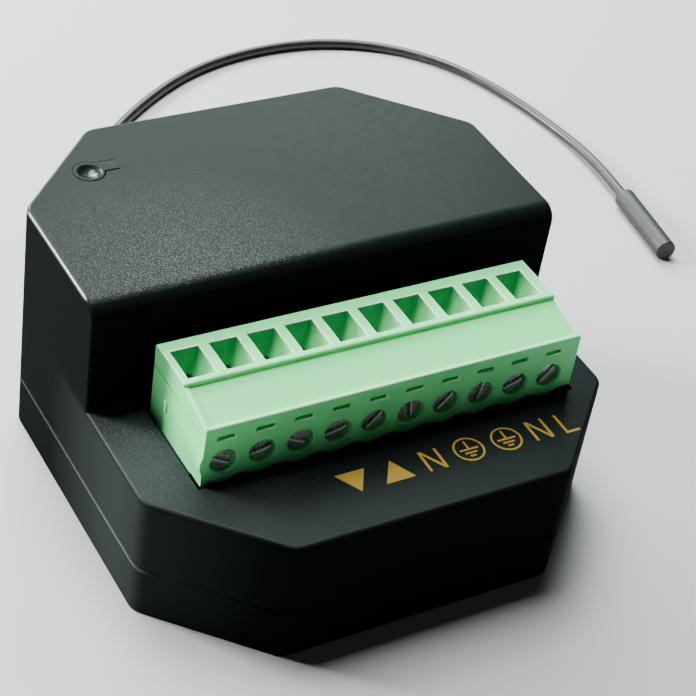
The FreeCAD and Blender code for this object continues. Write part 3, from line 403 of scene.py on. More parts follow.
def plated(slot, colour, roughness, stretch=(1, 1, 1), depth=0.004 * MM, metal=1.0):
    """Plated metal: fine tool marks along one direction and darker stains."""
    tree, place = start_finish(slot, colour, roughness, Metallic=metal)
    stain = spread(tree, noise(tree, place, 0.9 * MM, 4, 0.6), 0.35, 0.7)
    marks = noise(tree, place, 0.25 * MM, 4, 0.6, stretch)
    paint(tree, Base_Color=between(tree, stain, shade(colour, 0.75), shade(colour, 1.15)),
          Roughness=spread(tree, marks, 0.3, 0.75, roughness * 0.7, roughness * 1.5))
    relief(tree, marks, depth, 0.8)


def case_finish():
    """Spark-eroded black plastic: pale grains, and painted glints, highlight, sheen and shade.

    The grains are densest at the hump's front left, where they are painted lighter as glints of
    grazing light, and only on flat tops. The rim is the band just under the top's height, behind
    the rounded brow;
    it is glossy and painted lighter as a highlight. The shelf's left end is painted lighter as
    sheen.
    Upright walls are painted darker as shade, and are more matt.
    """
    colour = colours().case
    # Pale grain colour, partly painted glints
    grain_and_glint_colour = (0.13, 0.14, 0.137, 1)
    # Painted sheen colour for the shelf's left end
    shelf_sheen_colour = (0.065, 0.078, 0.078, 1)
    # Painted highlight colour for the glossy top rim
    rim_highlight_colour = (0.035, 0.037, 0.037, 1)
    sheen, wall_sheen = 0.039, 0.015
    tree, place = start_finish("case_black", colour, 0.32, Coat_Roughness=0.2)
    axes = add(tree, "SeparateXYZ", Vector=place).outputs
    normal = add(tree, "TexCoord").outputs["Normal"]
    rising = add(tree, "SeparateXYZ", Vector=normal).outputs[2]
    upright = spread(tree, rising, 0.35, 0.8, 1, 0)

    grain = noise(tree, place, 0.11 * MM, 1, 0.6)
    coarse = noise(tree, place, 0.9 * MM, 2)
    base = between(tree, coarse, shade(colour, 0.85), shade(colour, 1.15))
    # Upright walls get a darker base colour, as painted shade
    base = between(tree, upright, base, shade(colour, 0.5))

    # Pale grains, painted lighter as glints, densest at the front left where the light grazes
    from_front_left = from_upright(tree, place, -14 * MM, -1 * MM)
    dense = spread(tree, from_front_left, 5 * MM, 18 * MM, 1.0, 0.05)
    flat = spread(tree, rising, 0.85, 0.98)
    grains_and_glints = times(tree, spread(tree, grain, 0.52, 0.76), dense, flat)
    base = between(tree, grains_and_glints, base, grain_and_glint_colour)

    # Painted sheen: the shelf's left end, low down and facing up, is lighter
    from_shelf_end = from_upright(tree, place, -22 * MM, -9 * MM)
    sheen_falloff = spread(tree, from_shelf_end, 2 * MM, 15 * MM, 1, 0)
    low = spread(tree, axes[2], 13 * MM, 14 * MM, 1, 0)
    shelf_sheen = times(tree, sheen_falloff, low, spread(tree, upright, 0, 1, 1, 0.3))
    base = between(tree, shelf_sheen, base, shelf_sheen_colour)

    # Glossy rim band just under the top, also painted lighter as a highlight
    top = far_side("upper_cover", "z")
    over = spread(tree, axes[2], top - 0.33 * MM, top - 0.27 * MM)
    under = spread(tree, axes[2], top - 0.004 * MM, top - 0.03 * MM)
    behind = spread(tree, axes[1], -0.4 * MM, 0.4 * MM)
    rim = times(tree, over, under, behind)
    satin = spread(tree, coarse, 0.3, 0.7, 0.29, 0.36)
    paint(tree, Base_Color=between(tree, rim, base, rim_highlight_colour), Coat_Weight=rim,
          Roughness=spread(tree, upright, 0, 1, satin, 0.8),
          Specular_IOR_Level=spread(tree, upright, 0, 1, sheen, wall_sheen))
    relief(tree, grain, 0.006 * MM)


def button_finish(centre):
    """The case's plastic, with a spot of the dish polished on its front right."""
    material = finish_of("case_black").copy()
    material.name = "button_black_finish"
    tree = material.node_tree
    place = add(tree, "TexCoord").outputs["Object"]
    spot_x, spot_y = centre[0] + 0.6 * MM, centre[1] - 0.15 * MM
    apart = from_upright(tree, place, spot_x, spot_y)
    paint(tree, Base_Color=shade(colours().case, 1.2), Roughness=0.32, Coat_Roughness=0.26,
          Coat_Weight=spread(tree, apart, 0.45 * MM, 0.75 * MM, 1, 0))
    return material


def flow_marks(tree, place):
    """Streaks along the row, where the plug's plastic flowed into its mould."""
    return noise(tree, place, 1.5 * MM, 4, 0.55, (0.25, 1, 1))


def terminal_finish(slot, by):
    """Light green plastic, a little translucent, with flow marks along the row."""
    colour = shade(colours().terminal, by)
    tree, place = start_finish(
        slot, colour, 0.42, Specular_IOR_Level=0.22, Subsurface_Weight=0.10,
        Subsurface_Scale=0.5 * MM, Subsurface_Radius=(0.6, 1.0, 0.6))
    flow = flow_marks(tree, place)
    paint(tree, Base_Color=between(tree, flow, shade(colour, 0.95), shade(colour, 1.04)),
          Roughness=spread(tree, flow, 0.3, 0.7, 0.36, 0.48))
    relief(tree, noise(tree, place, 0.12 * MM, 2, 0.5), 0.002 * MM)


def edge_finish():
    """The plug's plastic, painted lighter on its rounded edges as a highlight."""
    material = bpy.data.materials["terminal_green_finish"].copy()
    material.name = "terminal_edge_finish"
    paint(material.node_tree, Base_Color=shade(colours().edge, 1))


def entry_finish():
    """The plug's plastic, painted lighter at each wire entry's front as light and darker towards
    its back wall as shade.
    """
    lit_front_colour = (0.36, 0.92, 0.46, 1)
    tree, place = start_finish("wire_entry", colours().terminal, 0.42, Specular_IOR_Level=0.2)
    along = add(tree, "SeparateXYZ", Vector=place).outputs[1]
    # Painted shade towards the back wall, painted light at the front
    deep = spread(tree, along, -6.3 * MM, -5.0 * MM)
    paint(tree, Base_Color=between(tree, deep, lit_front_colour, shade(colours().entry, 1)),
          Roughness=spread(tree, flow_marks(tree, place), 0.3, 0.7, 0.36, 0.48))


def ink_finish():
    """Pad-printed ink: thin places let a little of the black through."""
    colour = colours().ink
    tree, place = start_finish("gold_ink", colour, 0.5, Specular_IOR_Level=0.2)
    broad = noise(tree, place, 1.2 * MM, 2)
    base = between(tree, broad, shade(colour, 0.88), shade(colour, 1.1))
    thin = spread(tree, noise(tree, place, 0.12 * MM, 2), 0.62, 0.8)
    paint(tree, Base_Color=between(tree, thin, base, shade(colour, 0.45)))
    relief(tree, noise(tree, place, 0.2 * MM, 2), 0.004 * MM, 0.6)


def jacket_finish():
    """Smooth wire jacket with faint rub marks."""
    colour = colours().jacket
    tree, place = start_finish("wire_jacket", colour, 0.36, Specular_IOR_Level=0.5)
    rub = spread(tree, noise(tree, place, 2.2 * MM, 5, 0.65), 0.45, 0.75)
    paint(tree, Base_Color=between(tree, rub, shade(colour, 1), shade(colour, 2.2)),
          Roughness=spread(tree, rub, 0, 1, 0.34, 0.5))
    relief(tree, noise(tree, place, 0.3 * MM, 2), 0.004 * MM, 0.6)


def board_finish(slot, colour):
    """Solder mask: darker where copper tracks run under it, with a faint weave."""
    tree, place = start_finish(slot, colour, 0.3, Coat_Weight=0.3, Coat_Roughness=0.2)
    tracks = add(tree, "TexBrick", {"offset": 0.37, "squash": 1.6}, Vector=place, Scale=160.0,
                 Color1=shade(colour, 1.15), Color2=shade(colour, 0.95),
                 Mortar=shade(colour, 0.55), Mortar_Size=0.05, Mortar_Smooth=0.3)
    paint(tree, Base_Color=tracks.outputs[0])
    relief(tree, noise(tree, place, 0.4 * MM, 1, 0.5, (1, 0.3, 1)), 0.004 * MM, 0.5)


def wound_finish():
    """Yellow tape round the winding, with its edges as fine steps."""
    colour = (0.55, 0.38, 0.06)
    tree, place = start_finish("winding_tape", colour, 0.32)
    turns = add(tree, "TexWave", {"bands_direction": "Z"}, Vector=place, Scale=420.0,
                Distortion=0.4).outputs[1]
    paint(tree, Base_Color=between(tree, turns, shade(colour, 0.8), shade(colour, 1.1)))
    relief(tree, turns, 0.02 * MM, 0.7)


def floor_finish():
    """Plain pale floor with hardly visible clouds."""
    colour = colours().floor
    tree, place = start_finish("floor", colour, 0.9, Specular_IOR_Level=0.2)
    wide = noise(tree, place, 60 * MM, 2)
    paint(tree, Base_Color=between(tree, wide, shade(colour, 0.99), shade(colour, 1.01)))


# Colour, roughness, size of the grain and its depth
MOULDINGS = {
    "relay_case": ((0.012, 0.013, 0.015), 0.35, 0.3 * MM, 0.004 * MM),
    "ferrite": ((0.028, 0.027, 0.028), 0.75, 0.12 * MM, 0.02 * MM),
    "film_case": ((0.60, 0.57, 0.50), 0.42, 0.25 * MM, 0.005 * MM),
    "can_sleeve": ((0.010, 0.020, 0.055), 0.3, 0.4 * MM, 0.004 * MM),
    "fuse_case": ((0.16, 0.08, 0.04), 0.4, 0.3 * MM, 0.005 * MM),
    "varistor_coat": ((0.03, 0.10, 0.30), 0.42, 0.5 * MM, 0.03 * MM),
    "chip_black": ((0.016, 0.016, 0.017), 0.55, 0.1 * MM, 0.006 * MM),
    "switch_black": ((0.014, 0.014, 0.014), 0.45, 0.2 * MM, 0.005 * MM),
    "rod_white": ((0.62, 0.62, 0.60), 0.45, 0.2 * MM, 0.004 * MM),
    "rubber_black": ((0.014, 0.015, 0.015), 0.55, 0.15 * MM, 0.006 * MM),
}


def make_finishes():
    """Makes the material of every slot, and those of the edges, entries, ink and floor."""
    case_finish()
    terminal_finish("terminal_green", 1.0)
    terminal_finish("header_green", 0.8)
    edge_finish()
    entry_finish()
    plated("screw_steel", colours().steel, 0.3, depth=0.001 * MM, metal=0.65)
    # Near-white, barely metallic steel: wear and a painted highlight on the slots' slopes
    plated("worn_and_highlight_steel", (0.98, 1.0, 0.99), 0.35, depth=0.001 * MM, metal=0.1)
    plated("cage_metal", (0.62, 0.60, 0.56), 0.25, (1, 0.2, 1))
    plated("contact_tin", (0.66, 0.65, 0.62), 0.22, (1, 1, 0.2))
    plated("crystal_can", (0.60, 0.60, 0.60), 0.3, (0.2, 1, 1))
    board_finish("board_green", (0.012, 0.10, 0.035))
    board_finish("radio_green", (0.008, 0.05, 0.09))
    wound_finish()
    jacket_finish()
    ink_finish()
    floor_finish()
    for slot, (colour, roughness, grain, depth) in MOULDINGS.items():
        moulded(slot, colour, roughness, grain, depth)


def finish_of(slot):
    """The material of a slot, made with the others the first time one is asked for."""
    name = slot + "_finish"
    if name not in bpy.data.materials:
        make_finishes()
    return bpy.data.materials[name]


def dress(node, slot):
    """Gives a node of the frame its finish."""
    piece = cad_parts[node]
    for place in piece.material_slots:
        place.material = finish_of(slot)


# Stage

WHITE = (1, 1, 1)

# Name, place, width, power in watts and colour of each soft light
LIGHTS = (
    ("high_light", (0.0, 0.21, 0.61), 0.30, 6.4, WHITE),
    ("back_light", (0.125, 0.36, 0.32), 0.34, 4.0, (0.85, 1.0, 0.98)),
    ("left_light", (-0.235, 0.218, 0.14), 0.09, 3.4, WHITE),
    ("dish_light", (0.0, 0.40, 0.225), 0.08, 1.1, WHITE),
    ("front_glint", (0.20, -0.32, 0.245), 0.05, 0.04, WHITE),
)


class RECEIVER_OT_stage(Operator):
    """Puts up the camera, the pale floor and the soft lights"""

    bl_idname = "receiver.stage"
    bl_label = "Stage"

    def execute(self, context):
        scene = context.scene
        stage = scene.receiver_stage
        lens = bpy.data.cameras.new("camera")
        lens.lens = stage.camera_lens
        lens.sensor_width = 36.0
        lens.clip_start = 5 * MM
        camera = bpy.data.objects.new("camera", lens)
        camera.location = stage.camera_place
        camera.rotation_euler = stage.camera_turn
        scene.collection.objects.link(camera)
        scene.camera = camera
        self.floor(scene)
        for light in LIGHTS:
            self.light(scene, *light)
        world = bpy.data.worlds.new("room")
        world.use_nodes = True
        room = world.node_tree.nodes["Background"]
        room.inputs[0].default_value = (0.95, 0.98, 1.0, 1)
        room.inputs[1].default_value = stage.sky
        scene.world = world
        return {"FINISHED"}

    def floor(self, scene):
        """A square just under the object."""
        half = scene.receiver_stage.floor_size / 2
        corners = [(-half, -half, 0), (half, -half, 0), (half, half, 0), (-half, half, 0)]
        mesh = bpy.data.meshes.new("floor")
        mesh.from_pydata(corners, [], [(0, 1, 2, 3)])
        mesh.materials.append(finish_of("floor"))
        floor = bpy.data.objects.new("floor", mesh)
        floor.location.z = -0.02 * MM
        scene.collection.objects.link(floor)

    def light(self, scene, name, place, width, power, colour):
        """A square lamp aimed at the middle of the case, itself unseen by the camera."""
        lamp = bpy.data.lights.new(name, "AREA")
        lamp.shape = "SQUARE"
        lamp.size = width
        lamp.energy = power
        lamp.color = colour
        made = bpy.data.objects.new(name, lamp)
        made.location = place
        made.visible_camera = False
        aim = Vector((0, 0, 12 * MM)) - Vector(place)
        made.rotation_euler = aim.to_track_quat("-Z", "Y").to_euler()
        scene.collection.objects.link(made)


# Antenna

# Corner points of the wire outside the case, in millimetres, as in the part's source
ANTENNA_ROUTE = [
    (-9.0, 26.45, 5.35), (-9.0, 30.6, 5.35), (-8.7, 35.1, 3.3), (-7.6, 40.4, 0.6),
    (-4.0, 47.9, 0.6), (2.3, 55.0, 0.6), (10.0, 61.4, 0.6), (19.0, 66.7, 0.6),
    (28.5, 69.0, 0.6), (38.0, 68.7, 0.6), (46.8, 65.1, 0.6), (53.1, 58.5, 0.6),
    (56.7, 49.6, 0.6), (58.6, 40.2, 0.6), (58.65, 31.8, 1.25), (57.7, 24.9, 1.25),
]


class RECEIVER_OT_antenna(Operator):
    """Lays the antenna wire with its end cap and the boot where it leaves the case"""

    bl_idname = "receiver.antenna"
    bl_label = "Antenna"

    def execute(self, context):
        route = [Vector(point) * MM for point in ANTENNA_ROUTE]
        line = bpy.data.curves.new("antenna_wire_jacket", "CURVE")
        line.dimensions = "3D"
        line.bevel_depth = sizes().wire_width / 2
        line.bevel_resolution = 6
        line.use_fill_caps = True
        line.resolution_u = 16
        spline = line.splines.new("NURBS")
        spline.points.add(len(route) - 1)
        spline.points.foreach_set("co", np.array([(*point, 1) for point in route]).ravel())
        spline.order_u = 3
        spline.use_endpoint_u = True
        line.materials.append(finish_of("wire_jacket"))
        wire = bpy.data.objects.new("antenna_wire_jacket", line)
        context.scene.collection.objects.link(wire)
        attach(wire, "case")
        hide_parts("antenna_wire")
        cap = self.end_cap(route)
        boot = self.boot(route[0])
        return {"FINISHED"}

    def end_cap(self, route):
        """A lathe profile: a recess round the wire, a straight sleeve and a far end cut square."""
        radius, length, edge = 1.25 * MM, 11 * MM, 0.15 * MM
        recess, slack, lip = 0.3 * MM, 0.05 * MM, 0.1 * MM
        dimple, dimple_depth, slope = 0.45 * MM, 0.04 * MM, 0.1 * MM
        mouth = sizes().wire_width / 2 + slack
        near, near_out = rounding(edge, 0, 90)
        far, far_out = rounding(edge, 90, 0)
        profile = [(recess, 0), (recess, mouth), (0, mouth + lip)]
        profile += zip(edge - near, radius - edge + near_out)
        profile += [(length * share, radius) for share in np.linspace(0.1, 0.9, 5)]
        profile += zip(length - edge + far, radius - edge + far_out)
        profile += [(length, dimple), (length - dimple_depth, dimple - slope),
                    (length - dimple_depth, 0)]
        shell = turned(profile, route[-1], route[-1] - route[-2])
        return build("antenna_end_cap", [shell], finish_of("rubber_black"), "case",
                     ["antenna_cap"], 40)

    def boot(self, exit_place):
        """A lathe profile: flange inside the wall, neck, then a ribbed taper to the wire."""
        wall_face = far_side("upper_cover", "y")
        start = Vector((exit_place.x, wall_face, exit_place.z))
        reach = exit_place.y - wall_face
        wall, flange, chamfer = 1.6 * MM, 0.8 * MM, 0.1 * MM
        wide, neck, root = 1.85 * MM, 1.3 * MM, 1.2 * MM
        thinning, rib, ribs = 0.2 * MM, 0.09 * MM, 4
        shoulder, end = 0.92 * MM, 0.82 * MM
        inner = -wall - flange
        profile = [(inner, 0), (inner, wide - chamfer), (inner + chamfer, wide),
                   (-wall, wide), (-wall, neck), (0, neck), (0, root)]
        along = np.linspace(0.08, 0.94, 40)
        wave = np.clip(np.cos(along * 2 * np.pi * ribs), -0.4, 1)
        profile += zip(reach * along, root - thinning * along - rib + rib * wave)
        profile += [(reach * 0.98, shoulder), (reach, end), (reach, 0)]
        shell = turned(profile, start, (0, 1, 0))
        return build("antenna_boot", [shell], finish_of("rubber_black"), "case",
                     ["antenna_grommet"], 50)


# Case and button

class RECEIVER_OT_case(Operator):
    """Gives the two shells their spark-eroded black plastic"""

    bl_idname = "receiver.case"
    bl_label = "Case shells"

    def execute(self, context):
        for node in ("upper_cover", "lower_shell"):
            dress(node, "case_black")
        return {"FINISHED"}


class RECEIVER_OT_button(Operator):
    """Shapes the dished button with its moulded tongue"""

    bl_idname = "receiver.button"
    bl_label = "Programming button"

    def execute(self, context):
        """Rings go from the dish's middle to a keyhole outline, then down and under.

        The outline's distance from the pad's middle is the larger of the pad's radius and the
        reach of the tongue at that angle. The dish is part of a ball, with a rounded brim.
        """
        low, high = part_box("program_button")
        pad = (high.y - low.y) / 2
        centre = np.array((low.x + pad, (low.y + high.y) / 2))
        root_skin, hair = 0.09 * MM, 0.001 * MM
        turn, reach = self.outline(pad, high.x + root_skin - centre[0])

        # The pad is drawn a little wider than the frame's, and rounder on its open side
        open_side = (turn > math.radians(-165)) & (turn < math.radians(-5))
        wider = np.where(open_side, 0.11 * MM, 0.16 * MM)
        edge = np.where(open_side, 0.06 * MM, 0.008 * MM)
        reach = np.where(reach < pad + hair, reach + wider, reach)
        rim = reach - edge

        dish = sizes().dish_width / 2
        depth = sizes().dish_depth
        ball = (dish ** 2 + depth ** 2) / (2 * depth)
        brim_drop = 0.02 * MM
        levels = []
        for share in np.linspace(0.03, 0.94, 14):
            radius = dish * share
            sink = depth - (ball - math.sqrt(ball ** 2 - radius ** 2))
            levels.append((np.full_like(turn, radius), high.z - sink))
        levels.append((np.full_like(turn, dish * 0.98), high.z - brim_drop))
        levels += [(dish + (rim - dish) * share, high.z) for share in (0.12, 0.5, 1.0)]
        levels += [(rim + edge * out, high.z - edge + edge * up)
                   for out, up in zip(*rounding(1.0, 90, 0))]
        levels.append((reach, low.z))
        rings = np.array([
            np.stack([centre[0] + radius * np.cos(turn), centre[1] + radius * np.sin(turn),
                      np.zeros_like(turn) + height], -1)
            for radius, height in levels
        ])
        build("dished_button", [rings_shell(rings)], button_finish(centre), "button",
              ["program_button"], 50)
        return {"FINISHED"}

    def outline(self, pad, arm_reach):
        """Turns round the pad and the outline's distance at each of them."""
        upper, lower = sizes().tongue_upper, sizes().tongue_lower
        stops = [-math.pi, -math.asin(lower / pad), -math.atan2(lower, arm_reach),
                 math.atan2(upper, arm_reach), math.asin(upper / pad), math.pi]
        counts = (30, 4, 8, 8, 26)
        turn = np.concatenate([np.linspace(first, last, count, endpoint=False)
                               for first, last, count in zip(stops, stops[1:], counts)])
        beside = np.where(turn > 0, upper, lower)
        with np.errstate(divide="ignore"):
            strip = np.minimum(arm_reach / np.cos(turn), beside / np.abs(np.sin(turn)))
        return turn, np.where(np.cos(turn) > 0, np.maximum(pad, strip), pad)


# Terminal plug

# Height of the plug's parting groove, as in the part's source
GROOVE = 19.1 * MM


class RECEIVER_OT_plug(Operator):
    """Softens the plug's edges and lines its ten wire entries with funnels"""

    bl_idname = "receiver.plug"
    bl_label = "Terminal plug"

    def execute(self, context):
        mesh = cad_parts["terminal_plug"].data.copy()
        if "custom_normal" in mesh.attributes:
            mesh.attributes.remove(mesh.attributes["custom_normal"])
        self.merge(mesh)
        body = put("plug_moulding", mesh, finish_of("terminal_green"), "plug",
                   ["terminal_plug"], 30)
        bevel = body.modifiers.new("soft_edges", "BEVEL")
        bevel.width = sizes().edge_softness
        bevel.segments = 3
        bevel.limit_method = "WEIGHT"
        bevel.use_clamp_overlap = False
        bevel.harden_normals = True
        # Bevelled edges get the lighter edge colour, as a painted highlight
        mesh.materials.append(finish_of("terminal_edge"))
        bevel.material = 1

        # The step round the mouth of each screw's bore gets the lighter edge colour too, as a
        # painted highlight
        to_mouth, step_reach, step_depth = Vector((0, -0.3 * MM, 0)), 1.9 * MM, 0.35 * MM
        for way in WAYS:
            mouth = screw_face(way)[0] + to_mouth
            second_material(mesh, mouth, step_reach, step_depth, -1, 0.3)
        funnels = [self.funnel(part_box(way_name("clamp_cage", way))) for way in WAYS]
        build("wire_funnels", funnels, finish_of("wire_entry"), "plug", sharp=50)
        return {"FINISHED"}

    def merge(self, mesh):
        """Joins the loose triangles, drops the lines inside flat faces and marks outer edges."""
        work = bmesh.new()
        work.from_mesh(mesh)
        bmesh.ops.remove_doubles(work, verts=work.verts, dist=MERGE)
        bmesh.ops.dissolve_limit(work, angle_limit=math.radians(1), verts=work.verts,
                                 edges=work.edges)
        weight = work.edges.layers.float.new("bevel_weight_edge")
        least_turn, least_length = math.radians(40), 0.3 * MM
        for edge in work.edges:
            if len(edge.link_faces) != 2 or edge.calc_length() < least_length:
                continue
            if edge.calc_face_angle_signed(0.0) > least_turn and self.shows(edge):
                edge[weight] = 1.0
        work.to_mesh(mesh)
        work.free()

    def shows(self, edge):
        """True for an edge above the shelf and outside the parting groove."""
        margin = 0.1 * MM
        height = (edge.verts[0].co.z + edge.verts[1].co.z) / 2
        return height > SHELF + margin and abs(height - GROOVE) > margin

    def funnel(self, cage):
        """A lining whose rounded-rectangle section draws in and rounds its corners with depth.

        A point at turn t of a section with half sizes a and b and corner radius r is the corner
        centre's place plus r times the direction of t, with the corner taken from the signs.
        """
        half_width, back, front = 1.43 * MM, -4.9 * MM, -8.8 * MM
        bottom, rim = 18.5 * MM, far_side("terminal_plug", "z") - 0.09 * MM
        slack, skin, sharp = 0.01 * MM, 0.05 * MM, 0.01 * MM
        top_corner, rounder = 0.06 * MM, 0.4 * MM
        lead = sizes().funnel_lead
        centre_x = (cage[0].x + cage[1].x) / 2
        quarter = np.linspace(0, np.pi / 2, 9)
        turn = np.concatenate([quarter + k * np.pi / 2 for k in range(4)])
        sign_x = np.repeat([1, -1, -1, 1], len(quarter))
        sign_y = np.repeat([1, 1, -1, -1], len(quarter))

        def section(height, draw, corner):
            half = half_width - slack - draw
            low, high = front + slack + draw * 0.8, back - slack - draw * 0.35
            deep, centre_y = (high - low) / 2, (high + low) / 2
            x = centre_x + sign_x * (half - corner) + corner * np.cos(turn)
            y = centre_y + sign_y * (deep - corner) + corner * np.sin(turn)
            return np.stack([x, y, np.full_like(x, height)], -1)

        inner = [section(rim - (rim - bottom) * depth, skin + lead * depth ** 1.3,
                         top_corner + rounder * depth)
                 for depth in np.linspace(0, 1, 12)]
        outer = [section(bottom, 0, sharp), section(rim, 0, sharp)]
        return hollow_shell(np.array(inner + outer + inner[:1]))


# Screws and cages

# Angle of each screw's slot in the photograph, in degrees up from the row
SLOT_TURNS = (-30, 12, -28, 14, 48, 100, 47, 80, 20, 50)


class RECEIVER_OT_screws(Operator):
    """Cuts the ten slotted terminal screws, each with its slot as last turned"""

    bl_idname = "receiver.screws"
    bl_label = "Terminal screws"

    def execute(self, context):
        # The slopes beside the slot, but not the head's rim, are worn and painted near white as a
        # highlight
        rim, slope_depth = 0.13 * MM, 0.25 * MM
        for way, turn in zip(WAYS, SLOT_TURNS):
            node = way_name("terminal_screw", way)
            face, radius = screw_face(way)
            head = self.head(face, radius, math.radians(turn))
            shank = self.shank(face, far_side(node, "y"))
            piece = build(way_name("slotted_screw", way), [head, shank], finish_of("screw_steel"),
                          way_name("screw", way), [node], 40)
            piece.data.materials.append(finish_of("worn_and_highlight_steel"))
            second_material(piece.data, face, radius - rim, slope_depth, 0.5, 0.9)
        return {"FINISHED"}

    def head(self, centre, radius, turn):
        """Sections across the slot, each a closed ring over the crown and back underneath.

        A point is u across the slot and v along it. The crown's height falls with the square of
        the distance from the middle and rounds off at the rim. Beside the slot a narrow slope
        goes down by its own width, and between the slot's walls the height is the slot's floor.
        Each wall stands on two sections at the same u.
        """
        rise, edge, slope, thickness = sizes().head_rise, 0.12 * MM, 0.12 * MM, 0.95 * MM
        half_slot = sizes().slot_width / 2
        flank = 12
        first = np.arcsin((half_slot + slope) / radius)
        outside = np.sin(np.linspace(first, np.pi / 2, flank)) * radius
        inside = np.linspace(-half_slot, half_slot, 5)
        across = np.concatenate([-outside[::-1], inside[:1], inside, inside[-1:], outside])
        place = np.arange(len(across)) - flank
        cut = (place > 0) & (place <= len(inside))
        sloped = np.where((place == 0) | (place == len(inside) + 1), slope, 0)
        share = np.sin(np.linspace(-np.pi / 2, np.pi / 2, 19))
        chord = np.sqrt(np.maximum(radius ** 2 - across ** 2, 0))
        along = chord[:, None] * share[None, :]
        beside = np.broadcast_to(across[:, None], along.shape)
        away = np.sqrt(along ** 2 + beside ** 2)
        rim = np.clip(away - (radius - edge), 0, edge)
        drop = rise * (away / radius) ** 2 + edge - np.sqrt(edge ** 2 - rim ** 2) + sloped[:, None]
        top = np.where(cut[:, None], np.maximum(drop, sizes().slot_depth), drop)
        under = np.full_like(top, thickness)
        u = np.concatenate([beside, beside[:, ::-1]], 1)
        v = np.concatenate([along, along[:, ::-1]], 1)
        deep = np.concatenate([top, under], 1)
        x = centre.x + v * math.cos(turn) - u * math.sin(turn)
        z = centre.z + v * math.sin(turn) + u * math.cos(turn)
        rings = np.stack([x, centre.y + deep, z], -1)
        return rings_shell(rings)

    def shank(self, centre, end):
        """A threaded rod: the radius waves once per pitch, and the wave turns round the rod."""
        core, ridge, end_taper, under_face = 0.86 * MM, 0.13 * MM, 0.3 * MM, 0.9 * MM
        sides, per_pitch = 24, 6
        start = centre.y + under_face
        pitch = sizes().thread_pitch
        along = np.linspace(start, end, int((end - start) / pitch * per_pitch))[:, None]
        turn = np.linspace(0, 2 * np.pi, sides, endpoint=False)[None, :]
        wave = np.abs(((along - start) / pitch + turn / (2 * np.pi)) % 1 - 0.5) * 2
        fade = np.clip((end - along) / end_taper, 0.4, 1)
        radius = (core + ridge * wave) * fade ** 0.3
        rings = np.stack([centre.x + radius * np.cos(turn),
                          np.broadcast_to(along, radius.shape),
                          centre.z + radius * np.sin(turn)], -1)
        return rings_shell(rings)


class RECEIVER_OT_metalwork(Operator):
    """Finishes the cages, contacts and pins"""

    bl_idname = "receiver.metalwork"
    bl_label = "Cages and contacts"

    def execute(self, context):
        for way in WAYS:
            dress(way_name("clamp_cage", way), "cage_metal")
        dress("plug_contacts", "contact_tin")
        dress("header_pins", "contact_tin")
        return {"FINISHED"}


# Printed marks

# Places on the shelf in millimetres: corners of the arrows, middles of the letters and signs
ARROWS = (((-6.96, -17.26), (-3.87, -17.26), (-5.45, -19.88)),
          ((-1.24, -17.2), (0.16, -19.83), (-2.91, -19.83)))
LETTERS = (("N", 2.67, -18.5), ("N", 14.38, -18.42), ("L", 17.46, -18.5))
EARTH_SIGNS = ((6.6, -18.44), (10.72, -18.44))


class RECEIVER_OT_marks(Operator):
    """Prints the gold marks beside the terminals: two arrows, N and L, and earth signs"""

    bl_idname = "receiver.marks"
    bl_label = "Terminal marks"

    def execute(self, context):
        shells = [self.plate(np.array(corners) * MM) for corners in ARROWS]
        shells += [self.letter(kind, x * MM, y * MM) for kind, x, y in LETTERS]
        for x, y in EARTH_SIGNS:
            shells += self.earth(x * MM, y * MM)
        build("terminal_marks", shells, finish_of("gold_ink"), "case", sharp=20)
        return {"FINISHED"}

    def plate(self, outline):
        """A thin plate of the outline's shape, just on the shelf."""
        low = np.column_stack([outline, np.full(len(outline), SHELF)])
        high = low + (0, 0, sizes().print_lift)
        return rings_shell(np.array([low, high]))

    def bar(self, left, right, low, high):
        """A plate with four square corners."""
        return self.plate([(left, low), (right, low), (right, high), (left, high)])

    def letter(self, kind, x, y):
        """An L, or an N of two posts and a slanting bar, each as one outline."""
        height, line = sizes().print_height, sizes().print_line
        if kind == "N":
            width = height * 0.74
            flat, notch = line * 1.3, line * 1.5
            points = [(0, 0), (line, 0), (line, height - notch), (width - flat, 0), (width, 0),
                      (width, height), (width - line, height), (width - line, notch),
                      (flat, height), (0, height)]
        else:
            width = height * 0.6
            points = [(0, 0), (width, 0), (width, line), (line, line), (line, height),
                      (0, height)]
        return self.plate([(x + px - width / 2, y + py - height / 2) for px, py in points])

    def earth(self, x, y):
        """A ring round a post on three bars that grow shorter."""
        radius, post_top = 1.55 * MM, 1.12 * MM
        line = sizes().print_line * 0.75
        lift = sizes().print_lift
        turn = np.linspace(0, 2 * np.pi, 64, endpoint=False)
        circle = np.stack([np.cos(turn), np.sin(turn)], -1)
        levels = [(radius - line, SHELF), (radius, SHELF), (radius, SHELF + lift),
                  (radius - line, SHELF + lift), (radius - line, SHELF)]
        ring = hollow_shell(np.array([
            np.column_stack([np.array((x, y)) + reach * circle, np.full(len(circle), height)])
            for reach, height in levels
        ]))
        post = self.bar(x - line / 2, x + line / 2, y + line / 2, y + post_top)
        bars = [(0.0, 0.98 * MM), (-0.46 * MM, 0.62 * MM), (-0.88 * MM, 0.3 * MM)]
        plates = [self.bar(x - half, x + half, y + rise - line / 2, y + rise + line / 2)
                  for rise, half in bars]
        return [ring, post, *plates]


# What the case holds

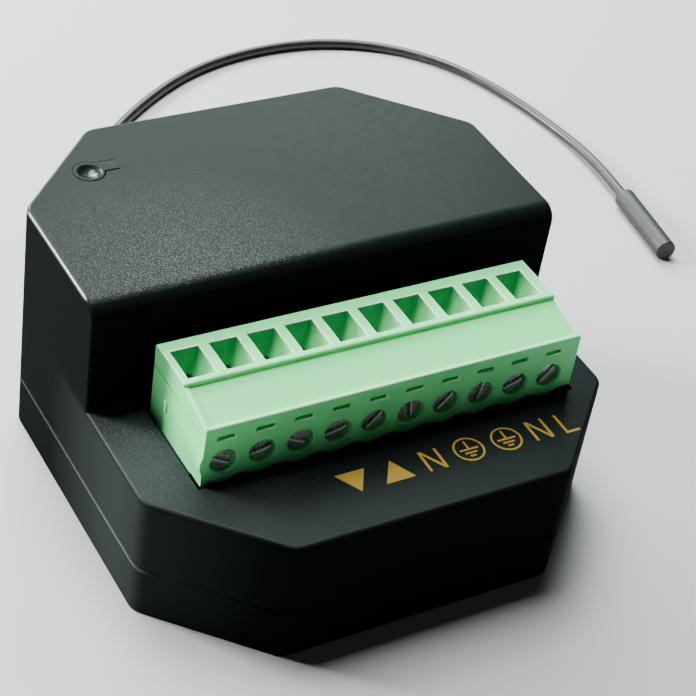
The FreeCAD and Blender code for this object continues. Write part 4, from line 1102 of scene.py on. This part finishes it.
# Material slot of each node inside the case
INSIDES = {
    "header_housing": "header_green",
    "circuit_board": "board_green",
    "radio_board": "radio_green",
    "relay_front": "relay_case",
    "relay_back": "relay_case",
    "transformer_core": "ferrite",
    "transformer_winding": "winding_tape",
    "filter_capacitor": "film_case",
    "smoothing_capacitor": "can_sleeve",
    "fuse": "fuse_case",
    "varistor": "varistor_coat",
    "radio_crystal": "crystal_can",
    "microcontroller": "chip_black",
    "tact_switch": "switch_black",
    "switch_plunger": "switch_black",
    "push_rod": "rod_white",
    "antenna_lead": "wire_jacket",
}


class RECEIVER_OT_insides(Operator):
    """Finishes the header, the circuit board and what stands on it"""

    bl_idname = "receiver.insides"
    bl_label = "Board and its parts"

    def execute(self, context):
        for node, slot in INSIDES.items():
            dress(node, slot)
        return {"FINISHED"}


# All operators, in the order in which main calls them
STEPS = (
    RECEIVER_OT_stage, RECEIVER_OT_antenna, RECEIVER_OT_case, RECEIVER_OT_button, RECEIVER_OT_plug,
    RECEIVER_OT_screws, RECEIVER_OT_metalwork, RECEIVER_OT_marks, RECEIVER_OT_insides,
)


class RECEIVER_PT_pieces(Panel):
    """Lists the settings and the steps that make the receiver"""

    bl_label = "Radio receiver"
    bl_idname = "RECEIVER_PT_pieces"
    bl_space_type = "VIEW_3D"
    bl_region_type = "UI"
    bl_category = "Receiver"

    def draw(self, context):
        layout = self.layout
        scene = context.scene
        for settings in (scene.receiver_sizes, scene.receiver_colours, scene.receiver_stage):
            box = layout.box()
            for name in settings.bl_rna.properties.keys():
                if name not in ("rna_type", "name"):
                    box.prop(settings, name)
        for step in STEPS:
            layout.operator(step.bl_idname)


SETTINGS = {
    "receiver_sizes": ReceiverSizes,
    "receiver_colours": ReceiverColours,
    "receiver_stage": StageSettings,
}


def register():
    for kind in (*SETTINGS.values(), *STEPS, RECEIVER_PT_pieces):
        bpy.utils.register_class(kind)
    for name, kind in SETTINGS.items():
        setattr(bpy.types.Scene, name, PointerProperty(type=kind))


def unregister():
    for name in SETTINGS:
        delattr(bpy.types.Scene, name)
    for kind in (RECEIVER_PT_pieces, *reversed(STEPS), *reversed(SETTINGS.values())):
        bpy.utils.unregister_class(kind)


def main():
    """Makes every piece in order."""
    register()
    bpy.ops.receiver.stage()
    bpy.ops.receiver.antenna()
    bpy.ops.receiver.case()
    bpy.ops.receiver.button()
    bpy.ops.receiver.plug()
    bpy.ops.receiver.screws()
    bpy.ops.receiver.metalwork()
    bpy.ops.receiver.marks()
    bpy.ops.receiver.insides()


if __name__ == "__main__":
    main()
